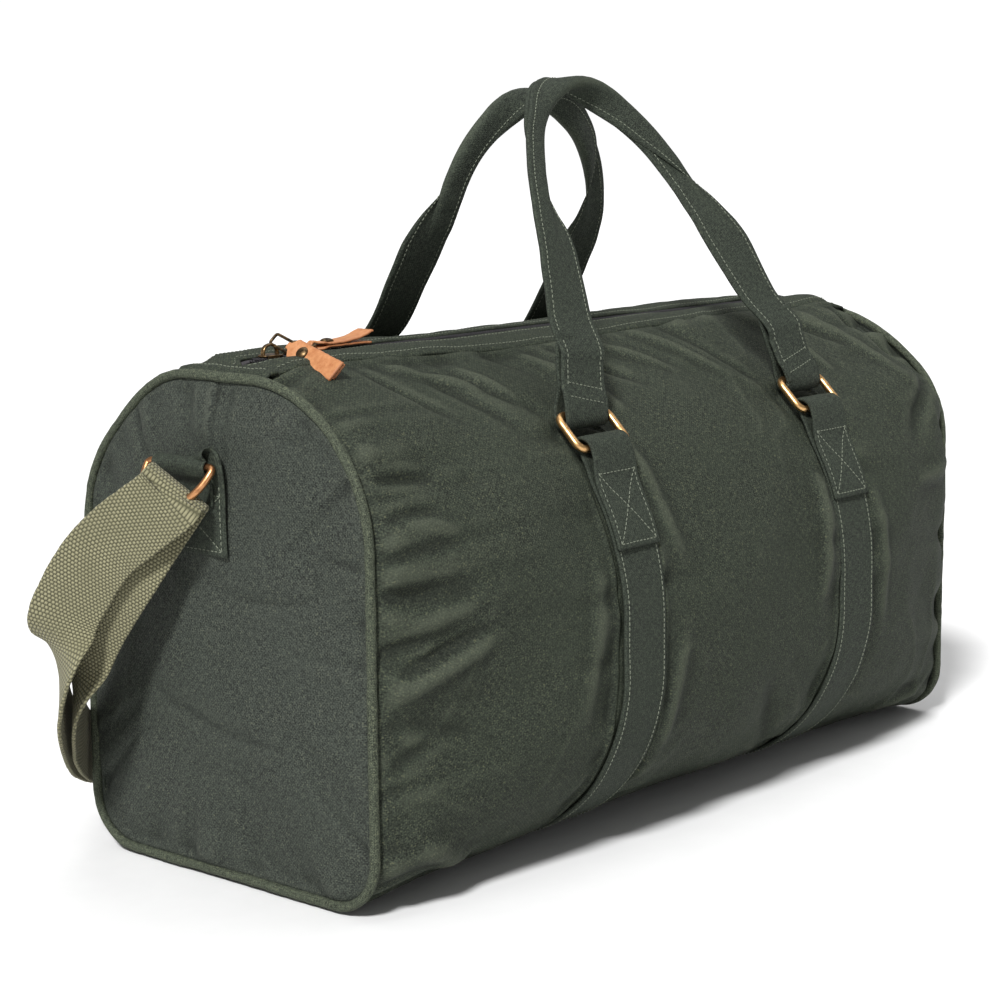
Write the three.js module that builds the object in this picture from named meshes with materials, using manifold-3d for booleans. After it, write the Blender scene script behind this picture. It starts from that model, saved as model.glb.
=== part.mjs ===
// Waxed-canvas duffel bag with webbing shoulder strap, built as separate pieces.
// Millimetres. +X is the long axis, -Y the front, +Z up. Origin: centre of the underside.
import * as THREE from 'three';
import { mergeVertices } from 'three/addons/utils/BufferGeometryUtils.js';
import Module from 'manifold-3d';

// ---------------------------------------------------------------- driving dimensions
const LENGTH = 580;              // seam to seam
const HEIGHT = 290;              // floor to end piping
const END_WIDTH = 234;           // depth of the end panels
const BULGE = 45;                // how much each side swells at mid length
const BULGE_POWER = 2.8;
const TOP_RADIUS = [92, 150];    // shoulder radius at the ends and at mid length
const BASE_RADIUS = [34, 118];   // base corner radius at the ends and at mid length
const CROWN_SAG = 5;             // the shoulders sink this much at mid length
const ZIP_TOP = 294.5;           // level of the straight zip line
const ZIP_CROWN = [20, 85];      // the raised zip line blends into the shoulders over this
const ZIP_STRAIGHT = 262;        // half length of the straight zip line

const CANVAS = 2.5;              // wrap: canvas with its lining
const PANEL = 2.2;
const GAP = 0.4;                 // clearance between pieces that touch
const MOUTH = 34;                // half width of the top opening in the wrap
const FACING = { inner: 8, outer: MOUTH - GAP, thickness: 2.0, end: 276 };
const TAPE = { inner: 3.8, outer: 20, depth: 2.4, thickness: 1.0 };
const COIL = { inner: 0.9, outer: 3.3, depth: 1.0, thickness: 2.4 };
const PIPING = 3.1;              // cord radius
const PIPING_DEPTH = 3.4;
const PIPING_X = LENGTH / 2 - 0.5;
const WRAP_END = 285.5;
const PANEL_DOME = 9;

const STRAP = { x: 111, width: 38, thickness: 2.2, recess: 2.8, boxEnd: 198 };
const RING = { s: 127, lift: 6.5, half: 22.3, reach: 12.3, corner: 5, rod: 2.3 };
const LOOP = RING.rod + 0.7 + STRAP.thickness / 2;      // centreline radius of a cloth loop

const TAB = { y: 13, width: 40, base: 187, face: 299.8, out: 6.2, barZ: 239, thickness: 2.0 };
const DRING = { half: 26, depth: 27, rod: 2.1, tilt: THREE.MathUtils.degToRad(35) };

const WEBBING = { width: 38, thickness: 2.4 };
const SLIDER = { near: -249, far: -229, length: 14, width: 11 };

// ---------------------------------------------------------------- colours
const FINISHES = {
  canvas: { color: 0x474c44, roughness: 0.85, metalness: 0 },
  canvasDark: { color: 0x3c4039, roughness: 0.85, metalness: 0 },
  piping: { color: 0x4e5347, roughness: 0.85, metalness: 0 },
  webbing: { color: 0x807e67, roughness: 0.95, metalness: 0 },
  leather: { color: 0xc3855a, roughness: 0.6, metalness: 0 },
  brass: { color: 0xb98a52, roughness: 0.3, metalness: 1 },
  darkBrass: { color: 0x6b5440, roughness: 0.4, metalness: 1 },
  zip: { color: 0x3c3a3c, roughness: 0.7, metalness: 0 },
};

// ---------------------------------------------------------------- small helpers
const V = (x, y, z) => new THREE.Vector3(x, y, z);
const range = (count) => Array.from({ length: count }, (_, i) => i);
const lerp = THREE.MathUtils.lerp;
const spread = (from, to, count) => range(count).map((i) => lerp(from, to, i / (count - 1)));
const mirrorX = (points) => points.map((p) => V(-p.x, p.y, p.z));

function signedVolume(points, faces) {
  let volume = 0;
  for (const [a, b, c] of faces) {
    volume += points[a].dot(new THREE.Vector3().crossVectors(points[b], points[c])) / 6;
  }
  return volume;
}

// A closed body from points and triangles, turned so that its faces point out.
function body(points, faces) {
  const outward = signedVolume(points, faces) > 0;
  const index = faces.flatMap(([a, b, c]) => (outward ? [a, b, c] : [a, c, b]));
  const geometry = new THREE.BufferGeometry();
  geometry.setAttribute('position', new THREE.Float32BufferAttribute(
    points.flatMap((p) => [p.x, p.y, p.z]), 3));
  geometry.setIndex(index);
  geometry.computeVertexNormals();
  return geometry;
}

// A sheet of constant thickness between two grids of the same size.
// wrapRows closes the sheet into a hoop along its rows.
function slab(outer, inner, wrapRows = false) {
  const rows = outer.length;
  const columns = outer[0].length;
  const points = [...outer.flat(), ...inner.flat()];
  const at = (side, row, column) => side * rows * columns + (row % rows) * columns + column;
  const faces = [];
  const quad = (a, b, c, d) => faces.push([a, b, c], [a, c, d]);
  for (const i of range(wrapRows ? rows : rows - 1)) {
    for (const j of range(columns - 1)) {
      quad(at(0, i, j), at(0, i + 1, j), at(0, i + 1, j + 1), at(0, i, j + 1));
      quad(at(1, i, j), at(1, i, j + 1), at(1, i + 1, j + 1), at(1, i + 1, j));
    }
    quad(at(0, i, 0), at(1, i, 0), at(1, i + 1, 0), at(0, i + 1, 0));
    const last = columns - 1;
    quad(at(0, i, last), at(0, i + 1, last), at(1, i + 1, last), at(1, i, last));
  }
  if (!wrapRows) {
    for (const j of range(columns - 1)) {
      quad(at(0, 0, j), at(0, 0, j + 1), at(1, 0, j + 1), at(1, 0, j));
      const last = rows - 1;
      quad(at(0, last, j), at(1, last, j), at(1, last, j + 1), at(0, last, j + 1));
    }
  }
  return body(points, faces);
}

// A round rod that follows a closed flat loop of points. normal is the loop's plane normal.
function closedRod(path, normal, radius, sides = 8) {
  const count = path.length;
  const points = [];
  for (const i of range(count)) {
    const along = path[(i + 1) % count].clone().sub(path[(i + count - 1) % count]).normalize();
    const side = new THREE.Vector3().crossVectors(along, normal).normalize();
    for (const j of range(sides)) {
      const angle = (2 * Math.PI * j) / sides;
      points.push(path[i].clone()
        .addScaledVector(side, radius * Math.cos(angle))
        .addScaledVector(normal, radius * Math.sin(angle)));
    }
  }
  const at = (i, j) => (i % count) * sides + (j % sides);
  const faces = range(count).flatMap((i) => range(sides).flatMap((j) => [
    [at(i, j), at(i + 1, j), at(i + 1, j + 1)],
    [at(i, j), at(i + 1, j + 1), at(i, j + 1)]]));
  return body(points, faces);
}

// A flat band along stations { at, face, width, thickness }: face is the broad side's normal.
function band(stations) {
  const rings = stations.map((station, i) => {
    const before = stations[Math.max(i - 1, 0)].at;
    const after = stations[Math.min(i + 1, stations.length - 1)].at;
    const along = after.clone().sub(before).normalize();
    const across = new THREE.Vector3().crossVectors(station.face, along).normalize();
    const up = new THREE.Vector3().crossVectors(along, across);
    const corner = (u, v) => station.at.clone()
      .addScaledVector(across, (u * station.width) / 2)
      .addScaledVector(up, (v * station.thickness) / 2);
    return { upper: [corner(-1, 1), corner(1, 1)], lower: [corner(-1, -1), corner(1, -1)] };
  });
  return slab(rings.map((ring) => ring.upper), rings.map((ring) => ring.lower));
}

// Points and faces along a smooth curve through the stations, steps per span.
function smoothStations(stations, steps) {
  const curve = new THREE.CatmullRomCurve3(stations.map((s) => s.at), false, 'centripetal');
  const faces = new THREE.CatmullRomCurve3(stations.map((s) => s.face), false, 'uniform');
  const spans = stations.length - 1;
  return range(spans * steps + 1).map((i) => {
    const t = i / (spans * steps);
    const k = Math.min(Math.floor(i / steps), spans - 1);
    const local = i / steps - k;
    return {
      at: curve.getPoint(t),
      face: faces.getPoint(t).normalize(),
      width: lerp(stations[k].width, stations[k + 1].width, local),
      thickness: lerp(stations[k].thickness, stations[k + 1].thickness, local),
    };
  });
}

// The outline of a ribbon of the given thickness along a flat open path of [u, v] points.
function ribbonShape(path, thickness) {
  const side = (sign) => path.map(([u, v], i) => {
    const [u0, v0] = path[Math.max(i - 1, 0)];
    const [u1, v1] = path[Math.min(i + 1, path.length - 1)];
    const length = Math.hypot(u1 - u0, v1 - v0);
    return new THREE.Vector2(
      u - (sign * thickness * (v1 - v0)) / (2 * length),
      v + (sign * thickness * (u1 - u0)) / (2 * length));
  });
  return new THREE.Shape([...side(1), ...side(-1).reverse()]);
}

// A ribbon in the YZ plane, width along X and centred on x. Path points are [y, z].
function ribbonAcrossX(path, thickness, width, x) {
  const geometry = new THREE.ExtrudeGeometry(ribbonShape(path, thickness),
    { depth: width, bevelEnabled: false, steps: 1 });
  geometry.translate(0, 0, -width / 2);
  // shape (u, v) and depth w become y, z and x
  geometry.applyMatrix4(new THREE.Matrix4().set(
    0, 0, 1, x,
    1, 0, 0, 0,
    0, 1, 0, 0,
    0, 0, 0, 1));
  return geometry;
}

const arc = (cx, cy, radius, from, to, count) => spread(from, to, count)
  .map((angle) => [cx + radius * Math.cos(angle), cy + radius * Math.sin(angle)]);

// ---------------------------------------------------------------- booleans
const wasm = await Module();
wasm.setup();

function toManifold(geometry) {
  const plain = geometry.clone();
  plain.deleteAttribute('normal');
  plain.deleteAttribute('uv');
  const merged = mergeVertices(plain, 1e-4);
  return new wasm.Manifold(new wasm.Mesh({
    numProp: 3,
    vertProperties: new Float32Array(merged.attributes.position.array),
    triVerts: new Uint32Array(merged.index.array),
  }));
}

function fromManifold(manifold) {
  const mesh = manifold.getMesh();
  const geometry = new THREE.BufferGeometry();
  geometry.setAttribute('position', new THREE.BufferAttribute(
    new Float32Array(mesh.vertProperties), 3));
  geometry.setIndex(new THREE.BufferAttribute(new Uint32Array(mesh.triVerts), 1));
  geometry.computeVertexNormals();
  return geometry;
}

const join = (first, ...others) => fromManifold(
  others.reduce((sum, geometry) => sum.add(toManifold(geometry)), toManifold(first)));
const cut = (first, ...tools) => fromManifold(
  tools.reduce((rest, geometry) => rest.subtract(toManifold(geometry)), toManifold(first)));

// ---------------------------------------------------------------- the bag's outer skin
function section(x) {
  const swell = 1 - Math.abs((2 * x) / LENGTH) ** BULGE_POWER;
  const past = Math.max(0, Math.abs(x) - ZIP_STRAIGHT) / (LENGTH / 2 - ZIP_STRAIGHT);
  const height = HEIGHT - CROWN_SAG * (1 - ((2 * x) / LENGTH) ** 2);
  return {
    half: END_WIDTH / 2 + BULGE * swell,
    height,
    top: lerp(TOP_RADIUS[0], TOP_RADIUS[1], swell),
    base: lerp(BASE_RADIUS[0], BASE_RADIUS[1], swell),
    crown: (ZIP_TOP - height) * (1 - past) ** 2,
  };
}

// Arc length from the zip line round to the middle of the underside.
function halfGirth(x) {
  const { half, height, top, base } = section(x);
  return half - top + (Math.PI / 2) * top + height - top - base + (Math.PI / 2) * base + half - base;
}

// A point of the skin: s is the arc length from the zip line, positive to the front,
// depth is measured inwards. shape is the station whose outline is used.
function skin(x, s, depth = 0, shape = x) {
  const { half, height, top, base, crown } = section(shape);
  const side = s >= 0 ? -1 : 1;
  const length = Math.abs(s);
  const shoulder = half - top;
  const wall = shoulder + (Math.PI / 2) * top;
  const corner = wall + height - top - base;
  const floor = corner + (Math.PI / 2) * base;
  let y = length;
  let z = height;
  let normal = [0, 1];
  if (length > floor) {
    y = half - base - (length - floor);
    z = 0;
    normal = [0, -1];
  } else if (length > corner) {
    const t = (length - corner) / base;
    y = half - base + base * Math.cos(t);
    z = base - base * Math.sin(t);
    normal = [Math.cos(t), -Math.sin(t)];
  } else if (length > wall) {
    y = half;
    z = height - top - (length - wall);
    normal = [1, 0];
  } else if (length > shoulder) {
    const t = (length - shoulder) / top;
    y = shoulder + top * Math.sin(t);
    z = height - top + top * Math.cos(t);
    normal = [Math.sin(t), Math.cos(t)];
  }
  const raised = crown * (1 - THREE.MathUtils.smoothstep(length, ...ZIP_CROWN));
  return V(x, side * (y - depth * normal[0]), z - depth * normal[1] + raised);
}

// Arc lengths down one side, from start to the middle of the underside, denser on the bends.
function girthSteps(shape, start) {
  const { half, height, top, base } = section(shape);
  const wall = half - top + (Math.PI / 2) * top;
  const corner = wall + height - top - base;
  const floor = corner + (Math.PI / 2) * base;
  return [...spread(start, wall, 8), ...spread(wall, corner, 3).slice(1),
    ...spread(corner, floor, 6).slice(1), halfGirth(shape)];
}

// A full loop of the outline at one station, from the zip line round the front and back.
function outline(x, depth, shape = x) {
  const steps = girthSteps(shape, 0);
  const back = steps.slice(1, -1).reverse().map((s) => -s);
  return [...steps, ...back].map((s) => skin(x, s, depth, shape));
}

// ---------------------------------------------------------------- body pieces
// Stations of the wrap: [x, depth of the skin there, station whose outline it takes].
const STRAP_EDGE = STRAP.width / 2 + 1;
const WRAP_STATIONS = [
  [WRAP_END, PIPING_DEPTH], [279, 1.4], [268, 0], [240, 0], [205, 0], [165, 0],
  [STRAP.x + STRAP_EDGE + 3, 0],
  [STRAP.x + STRAP_EDGE, STRAP.recess, STRAP.x],
  [STRAP.x - STRAP_EDGE, STRAP.recess, STRAP.x],
  [STRAP.x - STRAP_EDGE - 3, 0],
  [45, 0], [0, 0],
];

function bodyWrap() {
  const half = WRAP_STATIONS.map(([x, depth, shape = x]) => ({ x, depth, shape }));
  const other = half.slice(0, -1).reverse().map((s) => ({ x: -s.x, depth: s.depth, shape: -s.shape }));
  const line = ({ x, depth, shape }, extra) => {
    const front = girthSteps(shape, MOUTH);
    const arcs = [...front, ...front.slice(0, -1).reverse().map((s) => -s)];
    return arcs.map((s) => skin(x, s, depth + extra, shape));
  };
  const stations = [...half, ...other];
  return slab(stations.map((s) => line(s, 0)), stations.map((s) => line(s, CANVAS)));
}

function endPanel(side) {
  const rimDepth = PIPING_DEPTH + PIPING + 2 * GAP;
  const { half, height, top, base } = section(LENGTH / 2);
  const low = rimDepth;
  const high = height - rimDepth;
  const halfWidthAt = (z) => {
    const inset = half - rimDepth;
    if (z < base) {
      return half - base + Math.sqrt(Math.max(0, (base - rimDepth) ** 2 - (base - z) ** 2));
    }
    if (z > height - top) {
      return half - top + Math.sqrt(Math.max(0, (top - rimDepth) ** 2 - (z - height + top) ** 2));
    }
    return inset;
  };
  const levels = [0, 0.015, 0.05, 0.11, 0.25, 0.4, 0.55, 0.68, 0.78, 0.87, 0.94, 0.985, 1]
    .map((t) => lerp(low, high, t));
  const grid = (offset) => levels.map((z) => spread(-1, 1, 11).map((u) => {
    const y = u * halfWidthAt(z);
    const dome = PANEL_DOME * (1 - (y / half) ** 2) * (1 - ((2 * z) / height - 1) ** 2);
    return V(side * (LENGTH / 2 - 1 + dome + offset), y, z);
  }));
  return slab(grid(PANEL), grid(0));
}

function piping(side) {
  const path = outline(side * PIPING_X, PIPING_DEPTH, LENGTH / 2);
  return closedRod(path, V(1, 0, 0), PIPING);
}

// Tape that binds the raw seam inside the bag.
function seamBinding(side) {
  const hoop = (depth) => outline(side, depth, LENGTH / 2)
    .map((p) => [275.5, 284.5].map((x) => V(side * x, p.y, p.z)));
  const depth = PIPING_DEPTH + CANVAS + 0.9;
  return slab(hoop(depth), hoop(depth + 1.4), true);
}

// ---------------------------------------------------------------- zip
function strip(arcs, depth, thickness, xs) {
  const grid = (d) => xs.map((x) => arcs.map((s) => skin(x, s, d)));
  return slab(grid(depth), grid(depth + thickness));
}

const lengthwise = (end, count) => [-end, ...spread(-ZIP_STRAIGHT, ZIP_STRAIGHT, count), end];
const zipFacing = (side) => strip([FACING.inner, 20, FACING.outer].map((s) => s * side),
  0, FACING.thickness, lengthwise(FACING.end, 11));
const zipTape = (side) => strip([TAPE.inner, TAPE.outer].map((s) => s * side),
  TAPE.depth, TAPE.thickness, lengthwise(FACING.end - GAP, 5));
const zipCoil = (side) => strip([COIL.inner, COIL.outer].map((s) => s * side),
  COIL.depth, COIL.thickness, [-ZIP_STRAIGHT, ZIP_STRAIGHT]);
const zipEnd = (side) => strip(spread(-FACING.outer, FACING.outer, 7),
  0, FACING.thickness, [side * (FACING.end + GAP), side * 281, side * WRAP_END]);

const ZIP_BOTTOM = ZIP_TOP - TAPE.depth - TAPE.thickness;

// Slider body: upper and lower plates joined by the post that parts the coils,
// with the bridge that carries the pull standing on top.
function zipSlider(x) {
  const halfWidth = SLIDER.width / 2;
  const lower = ZIP_BOTTOM - GAP;
  const upper = ZIP_TOP - COIL.depth + GAP;
  const plate = 1.3;
  const post = 0.5;
  const outlinePoints = [
    [-halfWidth, lower - plate], [halfWidth, lower - plate], [halfWidth, lower], [post, lower],
    [post, upper], [halfWidth, upper], [halfWidth, upper + plate], [-halfWidth, upper + plate],
    [-halfWidth, upper], [-post, upper], [-post, lower], [-halfWidth, lower]];
  const profile = new THREE.Shape(outlinePoints.map(([u, v]) => new THREE.Vector2(u, v)));
  const casting = new THREE.ExtrudeGeometry(profile, { depth: SLIDER.length, bevelEnabled: false });
  casting.applyMatrix4(new THREE.Matrix4().set(
    0, 0, 1, x - SLIDER.length / 2,
    1, 0, 0, 0,
    0, 1, 0, 0,
    0, 0, 0, 1));
  const top = upper + plate;
  const shoulder = top + 3.6;
  const crest = arc(0, 0, 5.2, Math.PI, 0, 9).map(([u, v]) => [u, shoulder + v * 0.42]);
  const path = [[-5.2, top - 0.6], ...crest, [5.2, top - 0.6]];
  const bridge = new THREE.ExtrudeGeometry(ribbonShape(path, 1.4), { depth: 2.6, bevelEnabled: false });
  bridge.rotateX(Math.PI / 2);
  bridge.translate(x, 1.3, 0);
  return join(casting, bridge);
}

// Each pull has its own frame: origin inside the slider's bridge, u along the pull and
// v across it. aside shifts the link so that one of its sides runs under the bridge.
const PULL = {
  width: 13, length: 44, leather: 1.5, tongue: 4.2, shoulder: 1.8,
  linkRod: 0.9, bar: 13, rivetAt: 12,
};
const BRIDGE_FOOT = ZIP_TOP - COIL.depth + GAP + 1.3;
const degrees = THREE.MathUtils.degToRad;
const PULLS = [
  { name: 'near', x: SLIDER.near, heading: degrees(-72), slope: 0.05, lift: 3.6, aside: 3.4, back: -4 },
  { name: 'far', x: SLIDER.far, heading: 0, slope: 0, lift: 2.2, aside: 0, back: -1.5 },
];

function place(geometry, pull) {
  geometry.translate(0, pull.aside, 0);
  geometry.rotateY(pull.slope);
  geometry.rotateZ(pull.heading);
  geometry.translate(pull.x, 0, BRIDGE_FOOT + pull.lift);
  return geometry;
}

// Metal link: a flat closed loop through the bridge that ends inside the leather fold.
function pullLink(pull) {
  const half = 3.4;
  const corner = 1.4;
  const corners = [[PULL.bar, half, 0], [pull.back, half, 90], [pull.back, -half, 180],
    [PULL.bar, -half, 270]];
  const path = corners.flatMap(([u, v, start]) => {
    const cu = u + (u > 0 ? -corner : corner);
    const cv = v + (v > 0 ? -corner : corner);
    const angle = degrees(start);
    return arc(cu, cv, corner, angle, angle + Math.PI / 2, 4).map(([a, b]) => V(a, b, 0));
  });
  return place(closedRod(path, V(0, 0, 1), PULL.linkRod, 6), pull);
}

function alongPull(path, thickness, width) {
  const geometry = new THREE.ExtrudeGeometry(ribbonShape(path, thickness),
    { depth: width, bevelEnabled: false });
  geometry.rotateX(Math.PI / 2);
  geometry.translate(0, width / 2, 0);
  return geometry;
}

// Leather strip folded over the link's outer bar and riveted to itself. Only a narrow
// tongue between the link's sides goes round the bar, so the leather can swing on it.
function leatherPull(pull) {
  const { bar, leather, width, tongue } = PULL;
  const bend = PULL.linkRod + GAP + leather / 2;
  const layer = leather / 2 + 0.15;
  const end = bar + PULL.length;
  const path = [
    [end, -layer], [bar + 9, -layer], [bar + 4, -bend * 0.85],
    ...arc(bar, 0, bend, 1.5 * Math.PI, 0.5 * Math.PI, 7),
    [bar + 4, bend * 0.85], [bar + 9, layer], [end, layer]];
  const hole = new THREE.CylinderGeometry(1.9, 1.9, 12, 12);
  hole.rotateX(Math.PI / 2);
  hole.translate(bar + PULL.rivetAt, 0, 0);
  const notches = [-1, 1].map((edge) => {
    const notch = new THREE.BoxGeometry(8, width, 12);
    notch.translate(bar - 4 + PULL.shoulder, (edge * (width + tongue)) / 2, 0);
    return notch;
  });
  return place(cut(alongPull(path, leather, width), hole, ...notches), pull);
}

// Rivet: domed cap, shank through the hole, smaller cap underneath.
function pullRivet(pull) {
  const face = PULL.leather + 0.15 + 0.3;
  const profile = [[0, -face - 0.5], [2.6, -face - 0.4], [3, -face], [1.5, -face], [1.5, face],
    [3.7, face], [3.4, face + 0.8], [2, face + 1.4], [0, face + 1.6]];
  const rivet = new THREE.LatheGeometry(profile.map(([r, h]) => new THREE.Vector2(r, h)), 14);
  rivet.rotateX(Math.PI / 2);
  rivet.translate(PULL.bar + PULL.rivetAt, 0, 0);
  return place(rivet, pull);
}

// ---------------------------------------------------------------- carrying straps and rings
// Work at one strap in (s, lift): arc length from the zip line and height above the skin.
const onStrap = (side, s, lift) => {
  const p = skin(STRAP.x, side * s, -lift);
  return [p.y, p.z];
};

const ringCentre = (side) => onStrap(side, RING.s, RING.lift);
const ringUp = (side) => {
  const [y0, z0] = onStrap(side, RING.s + 0.5, RING.lift);
  const [y1, z1] = onStrap(side, RING.s - 0.5, RING.lift);
  const length = Math.hypot(y1 - y0, z1 - z0);
  return [(y1 - y0) / length, (z1 - z0) / length];
};
const ringBar = (side, sign) => {
  const [y, z] = ringCentre(side);
  const [uy, uz] = ringUp(side);
  return [y + sign * RING.reach * uy, z + sign * RING.reach * uz];
};

function carryRing(side, x) {
  const [y, z] = ringCentre(side);
  const [uy, uz] = ringUp(side);
  const inner = RING.half - RING.corner;
  const reach = RING.reach - RING.corner;
  const corners = [[1, 1, 0], [-1, 1, 90], [-1, -1, 180], [1, -1, 270]];
  const path = corners.flatMap(([sx, st, start]) => {
    const angle = THREE.MathUtils.degToRad(start);
    return arc(sx * inner, st * reach, RING.corner, angle, angle + Math.PI / 2, 5);
  }).map(([u, t]) => V(x + u, y + t * uy, z + t * uz));
  return closedRod(path, V(0, uz, -uy), RING.rod);
}

// Strap from the front ring down, under the bag and up to the back ring. Each end loops
// over the ring's lower bar and is sewn down on itself.
function wrapStrap(x) {
  const loopPath = (side) => {
    const [barY, barZ] = ringBar(side, -1);
    const doubled = [[STRAP.boxEnd, 1.5], [180, 1.5], [165, 1.6], [158, 2.6], [152, 5.2], [146, 8.8]]
      .map(([s, lift]) => onStrap(side, s, lift));
    const [uy, uz] = ringUp(side);
    const outward = side > 0 ? [-uz, uy] : [uz, -uy];
    const round = spread(Math.PI / 2, -Math.PI / 2, 9).map((angle) => [
      barY + LOOP * (Math.cos(angle) * uy + Math.sin(angle) * outward[0]),
      barZ + LOOP * (Math.cos(angle) * uz + Math.sin(angle) * outward[1])]);
    const under = [[147, 1.2], [154, -0.6], [162, -STRAP.thickness / 2]]
      .map(([s, lift]) => onStrap(side, s, lift));
    return [...doubled, ...round, ...under];
  };
  const girth = halfGirth(STRAP.x);
  const down = spread(172, girth, 22).map((s) => onStrap(1, s, -STRAP.thickness / 2));
  const up = spread(girth, 172, 22).slice(1).map((s) => onStrap(-1, s, -STRAP.thickness / 2));
  const path = [...loopPath(1), ...down, ...up, ...loopPath(-1).reverse()];
  return ribbonAcrossX(path, STRAP.thickness, STRAP.width, x);
}

// ---------------------------------------------------------------- handles
// Half of each handle from the ring to the crown: [x, y, z, width, thickness].
const HANDLES = {
  front: [
    [106, -110, 276, 38, 4.4], [103, -104, 288, 38, 4.6], [95, -91, 310, 38, 4.6],
    [88, -80, 332, 38, 4.6], [81, -69, 354, 37, 5], [76, -59, 370, 22, 8.5],
    [66, -43, 394, 20, 9], [50, -27, 417, 20, 9], [27, -15, 436, 20, 9], [0, -10.5, 444, 20, 9],
  ],
  back: [
    [101, 98, 271, 38, 4.4], [88, 84, 279, 38, 4.6], [79, 70, 295, 38, 4.6],
    [79, 53, 322, 38, 4.6], [78, 40, 346, 37, 5], [75, 31, 364, 22, 8.5],
    [66, 22, 390, 20, 9], [50, 16, 412, 20, 9], [27, 13.5, 429, 20, 9], [0, 12.5, 437, 20, 9],
  ],
};
const GRIP_START = 5;            // index of the first folded station

function handleStations(name, side) {
  const half = HANDLES[name];
  const crown = half.length - 1;
  const mirrored = (sign) => ([x, y, z, width, thickness]) => ({ at: V(sign * x, y, z), width, thickness });
  const near = half.map(mirrored(-1));
  const far = half.slice(0, -1).reverse().map(mirrored(1));
  // the broad side faces out of the arch's plane on the legs and up at the crown
  return [...near, ...far].map((stop, i) => {
    const turn = Math.max(0, 1 - Math.abs(i - crown) / (crown - GRIP_START + 1));
    return { ...stop, face: V(0, side, 0).lerp(V(0, 0, 1), turn) };
  });
}

function handle(name, side) {
  const stations = handleStations(name, side);
  const leg = band(smoothStations(stations, 3));
  const [barY, barZ] = ringBar(side < 0 ? 1 : -1, 1);
  const [, topY, topZ] = HANDLES[name][1];
  const reach = Math.hypot(topY - barY, topZ - barZ);
  const [uy, uz] = [(topY - barY) / reach, (topZ - barZ) / reach];
  const [ny, nz] = [-uz, uy];
  const local = (t, n) => [barY + t * uy + n * ny, barZ + t * uz + n * nz];
  const layer = 1.15;
  const hairpin = [[reach + 10, layer], [reach - 4, layer], [10, 2.8], [5, LOOP * 0.97],
    ...arc(0, 0, LOOP, Math.PI / 2, 1.5 * Math.PI, 9).slice(0, -1),
    [0, -LOOP], [5, -LOOP * 0.97], [10, -2.8], [reach - 4, -layer], [reach + 10, -layer]]
    .map(([t, n]) => local(t, n));
  const pieces = [-1, 1].map((end) => {
    const loop = ribbonAcrossX(hairpin, STRAP.thickness, STRAP.width, 0);
    // the loop leans towards the middle of the bag as it leaves the ring
    const lean = (STRAP.x - HANDLES[name][1][0]) / reach;
    const position = loop.attributes.position;
    for (const i of range(position.count)) {
      const t = (position.getY(i) - barY) * uy + (position.getZ(i) - barZ) * uz;
      position.setX(i, position.getX(i) + end * (STRAP.x - lean * Math.max(0, t)));
    }
    return loop;
  });
  return join(leg, ...pieces);
}

// ---------------------------------------------------------------- end tabs and D-rings
// Tab on each end panel, folded over the D-ring's bar. Path points are [out, z].
function endTab(side) {
  const { out, barZ, base, thickness } = TAB;
  const bend = DRING.rod + 0.6 + thickness / 2;
  const path = [[1, base], [1, 228], [1.5, 232], [2.4, 235.5],
    ...arc(out, barZ, bend, Math.PI, 0, 9), [out + 2.4, 234.6], [5.2, 231], [3.5, 228], [3.4, 221]];
  const geometry = new THREE.ExtrudeGeometry(ribbonShape(path, thickness),
    { depth: TAB.width, bevelEnabled: false });
  geometry.translate(0, 0, -TAB.width / 2);
  // turned about X to stand upright, then about Z to face the chosen end
  geometry.rotateX(Math.PI / 2);
  geometry.translate(TAB.face, 0, 0);
  if (side < 0) {
    geometry.rotateZ(Math.PI);
  }
  geometry.translate(0, TAB.y, 0);
  return geometry;
}

const dRingPoint = (side, y, reach) => V(
  side * (TAB.face + TAB.out + reach * Math.sin(DRING.tilt)),
  TAB.y + y,
  TAB.barZ - reach * Math.cos(DRING.tilt));

function dRing(side) {
  const bow = arc(0, 0, 1, 0, Math.PI, 17)
    .map(([c, s]) => dRingPoint(side, DRING.half * c, DRING.depth * s));
  const bar = [-0.6, 0, 0.6].map((u) => dRingPoint(side, DRING.half * u, 0));
  const normal = V(side * Math.cos(DRING.tilt), 0, Math.sin(DRING.tilt));
  return closedRod([...bow, ...bar], normal, DRING.rod);
}

// ---------------------------------------------------------------- shoulder strap
// Stations from the D-ring round the back corner to behind the bag: [x, y, z, nx, ny, nz].
const STRAP_ROUTE = [
  [-361, 55, 150, -0.85, -0.35, 0.39],
  [-352, 66, 127, -0.93, 0.25, 0.27],
  [-341, 80, 103, -0.70, 0.70, 0.12],
  [-316, 107, 70, -0.55, 0.83, 0.05],
  [-284, 136, 46, -0.6, 0.8, 0],
  [-240, 167, 31, -0.5, 0.86, 0],
  [-180, 192, 25, -0.25, 0.97, 0],
  [-135, 199, 24.5, -0.08, 1, 0],
];
const STRAP_BACK = [[-60, 203, 24, 0, 1, 0], [0, 203, 24, 0, 1, 0], [60, 203, 24, 0, 1, 0]];
const ADJUSTER = { x: -111, y: 201, z: 24.5, half: 21.2, reach: 13, rod: 1.6 };
const FOLD = { spacing: 9, rise: 6, sewn: 46 };

const foldDown = (side) => V(side * 0.53, 0.22, -0.82).normalize();
const foldFace = (side) => V(side * 0.84, -0.05, 0.54).projectOnPlane(foldDown(side)).normalize();

const station = ([x, y, z, nx, ny, nz], offset) => {
  const face = V(nx, ny, nz).normalize();
  return { at: V(x, y, z).addScaledVector(face, offset), face, ...WEBBING };
};

const mirrorRow = ([x, y, z, nx, ny, nz]) => [-x, y, z, -nx, ny, nz];

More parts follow.
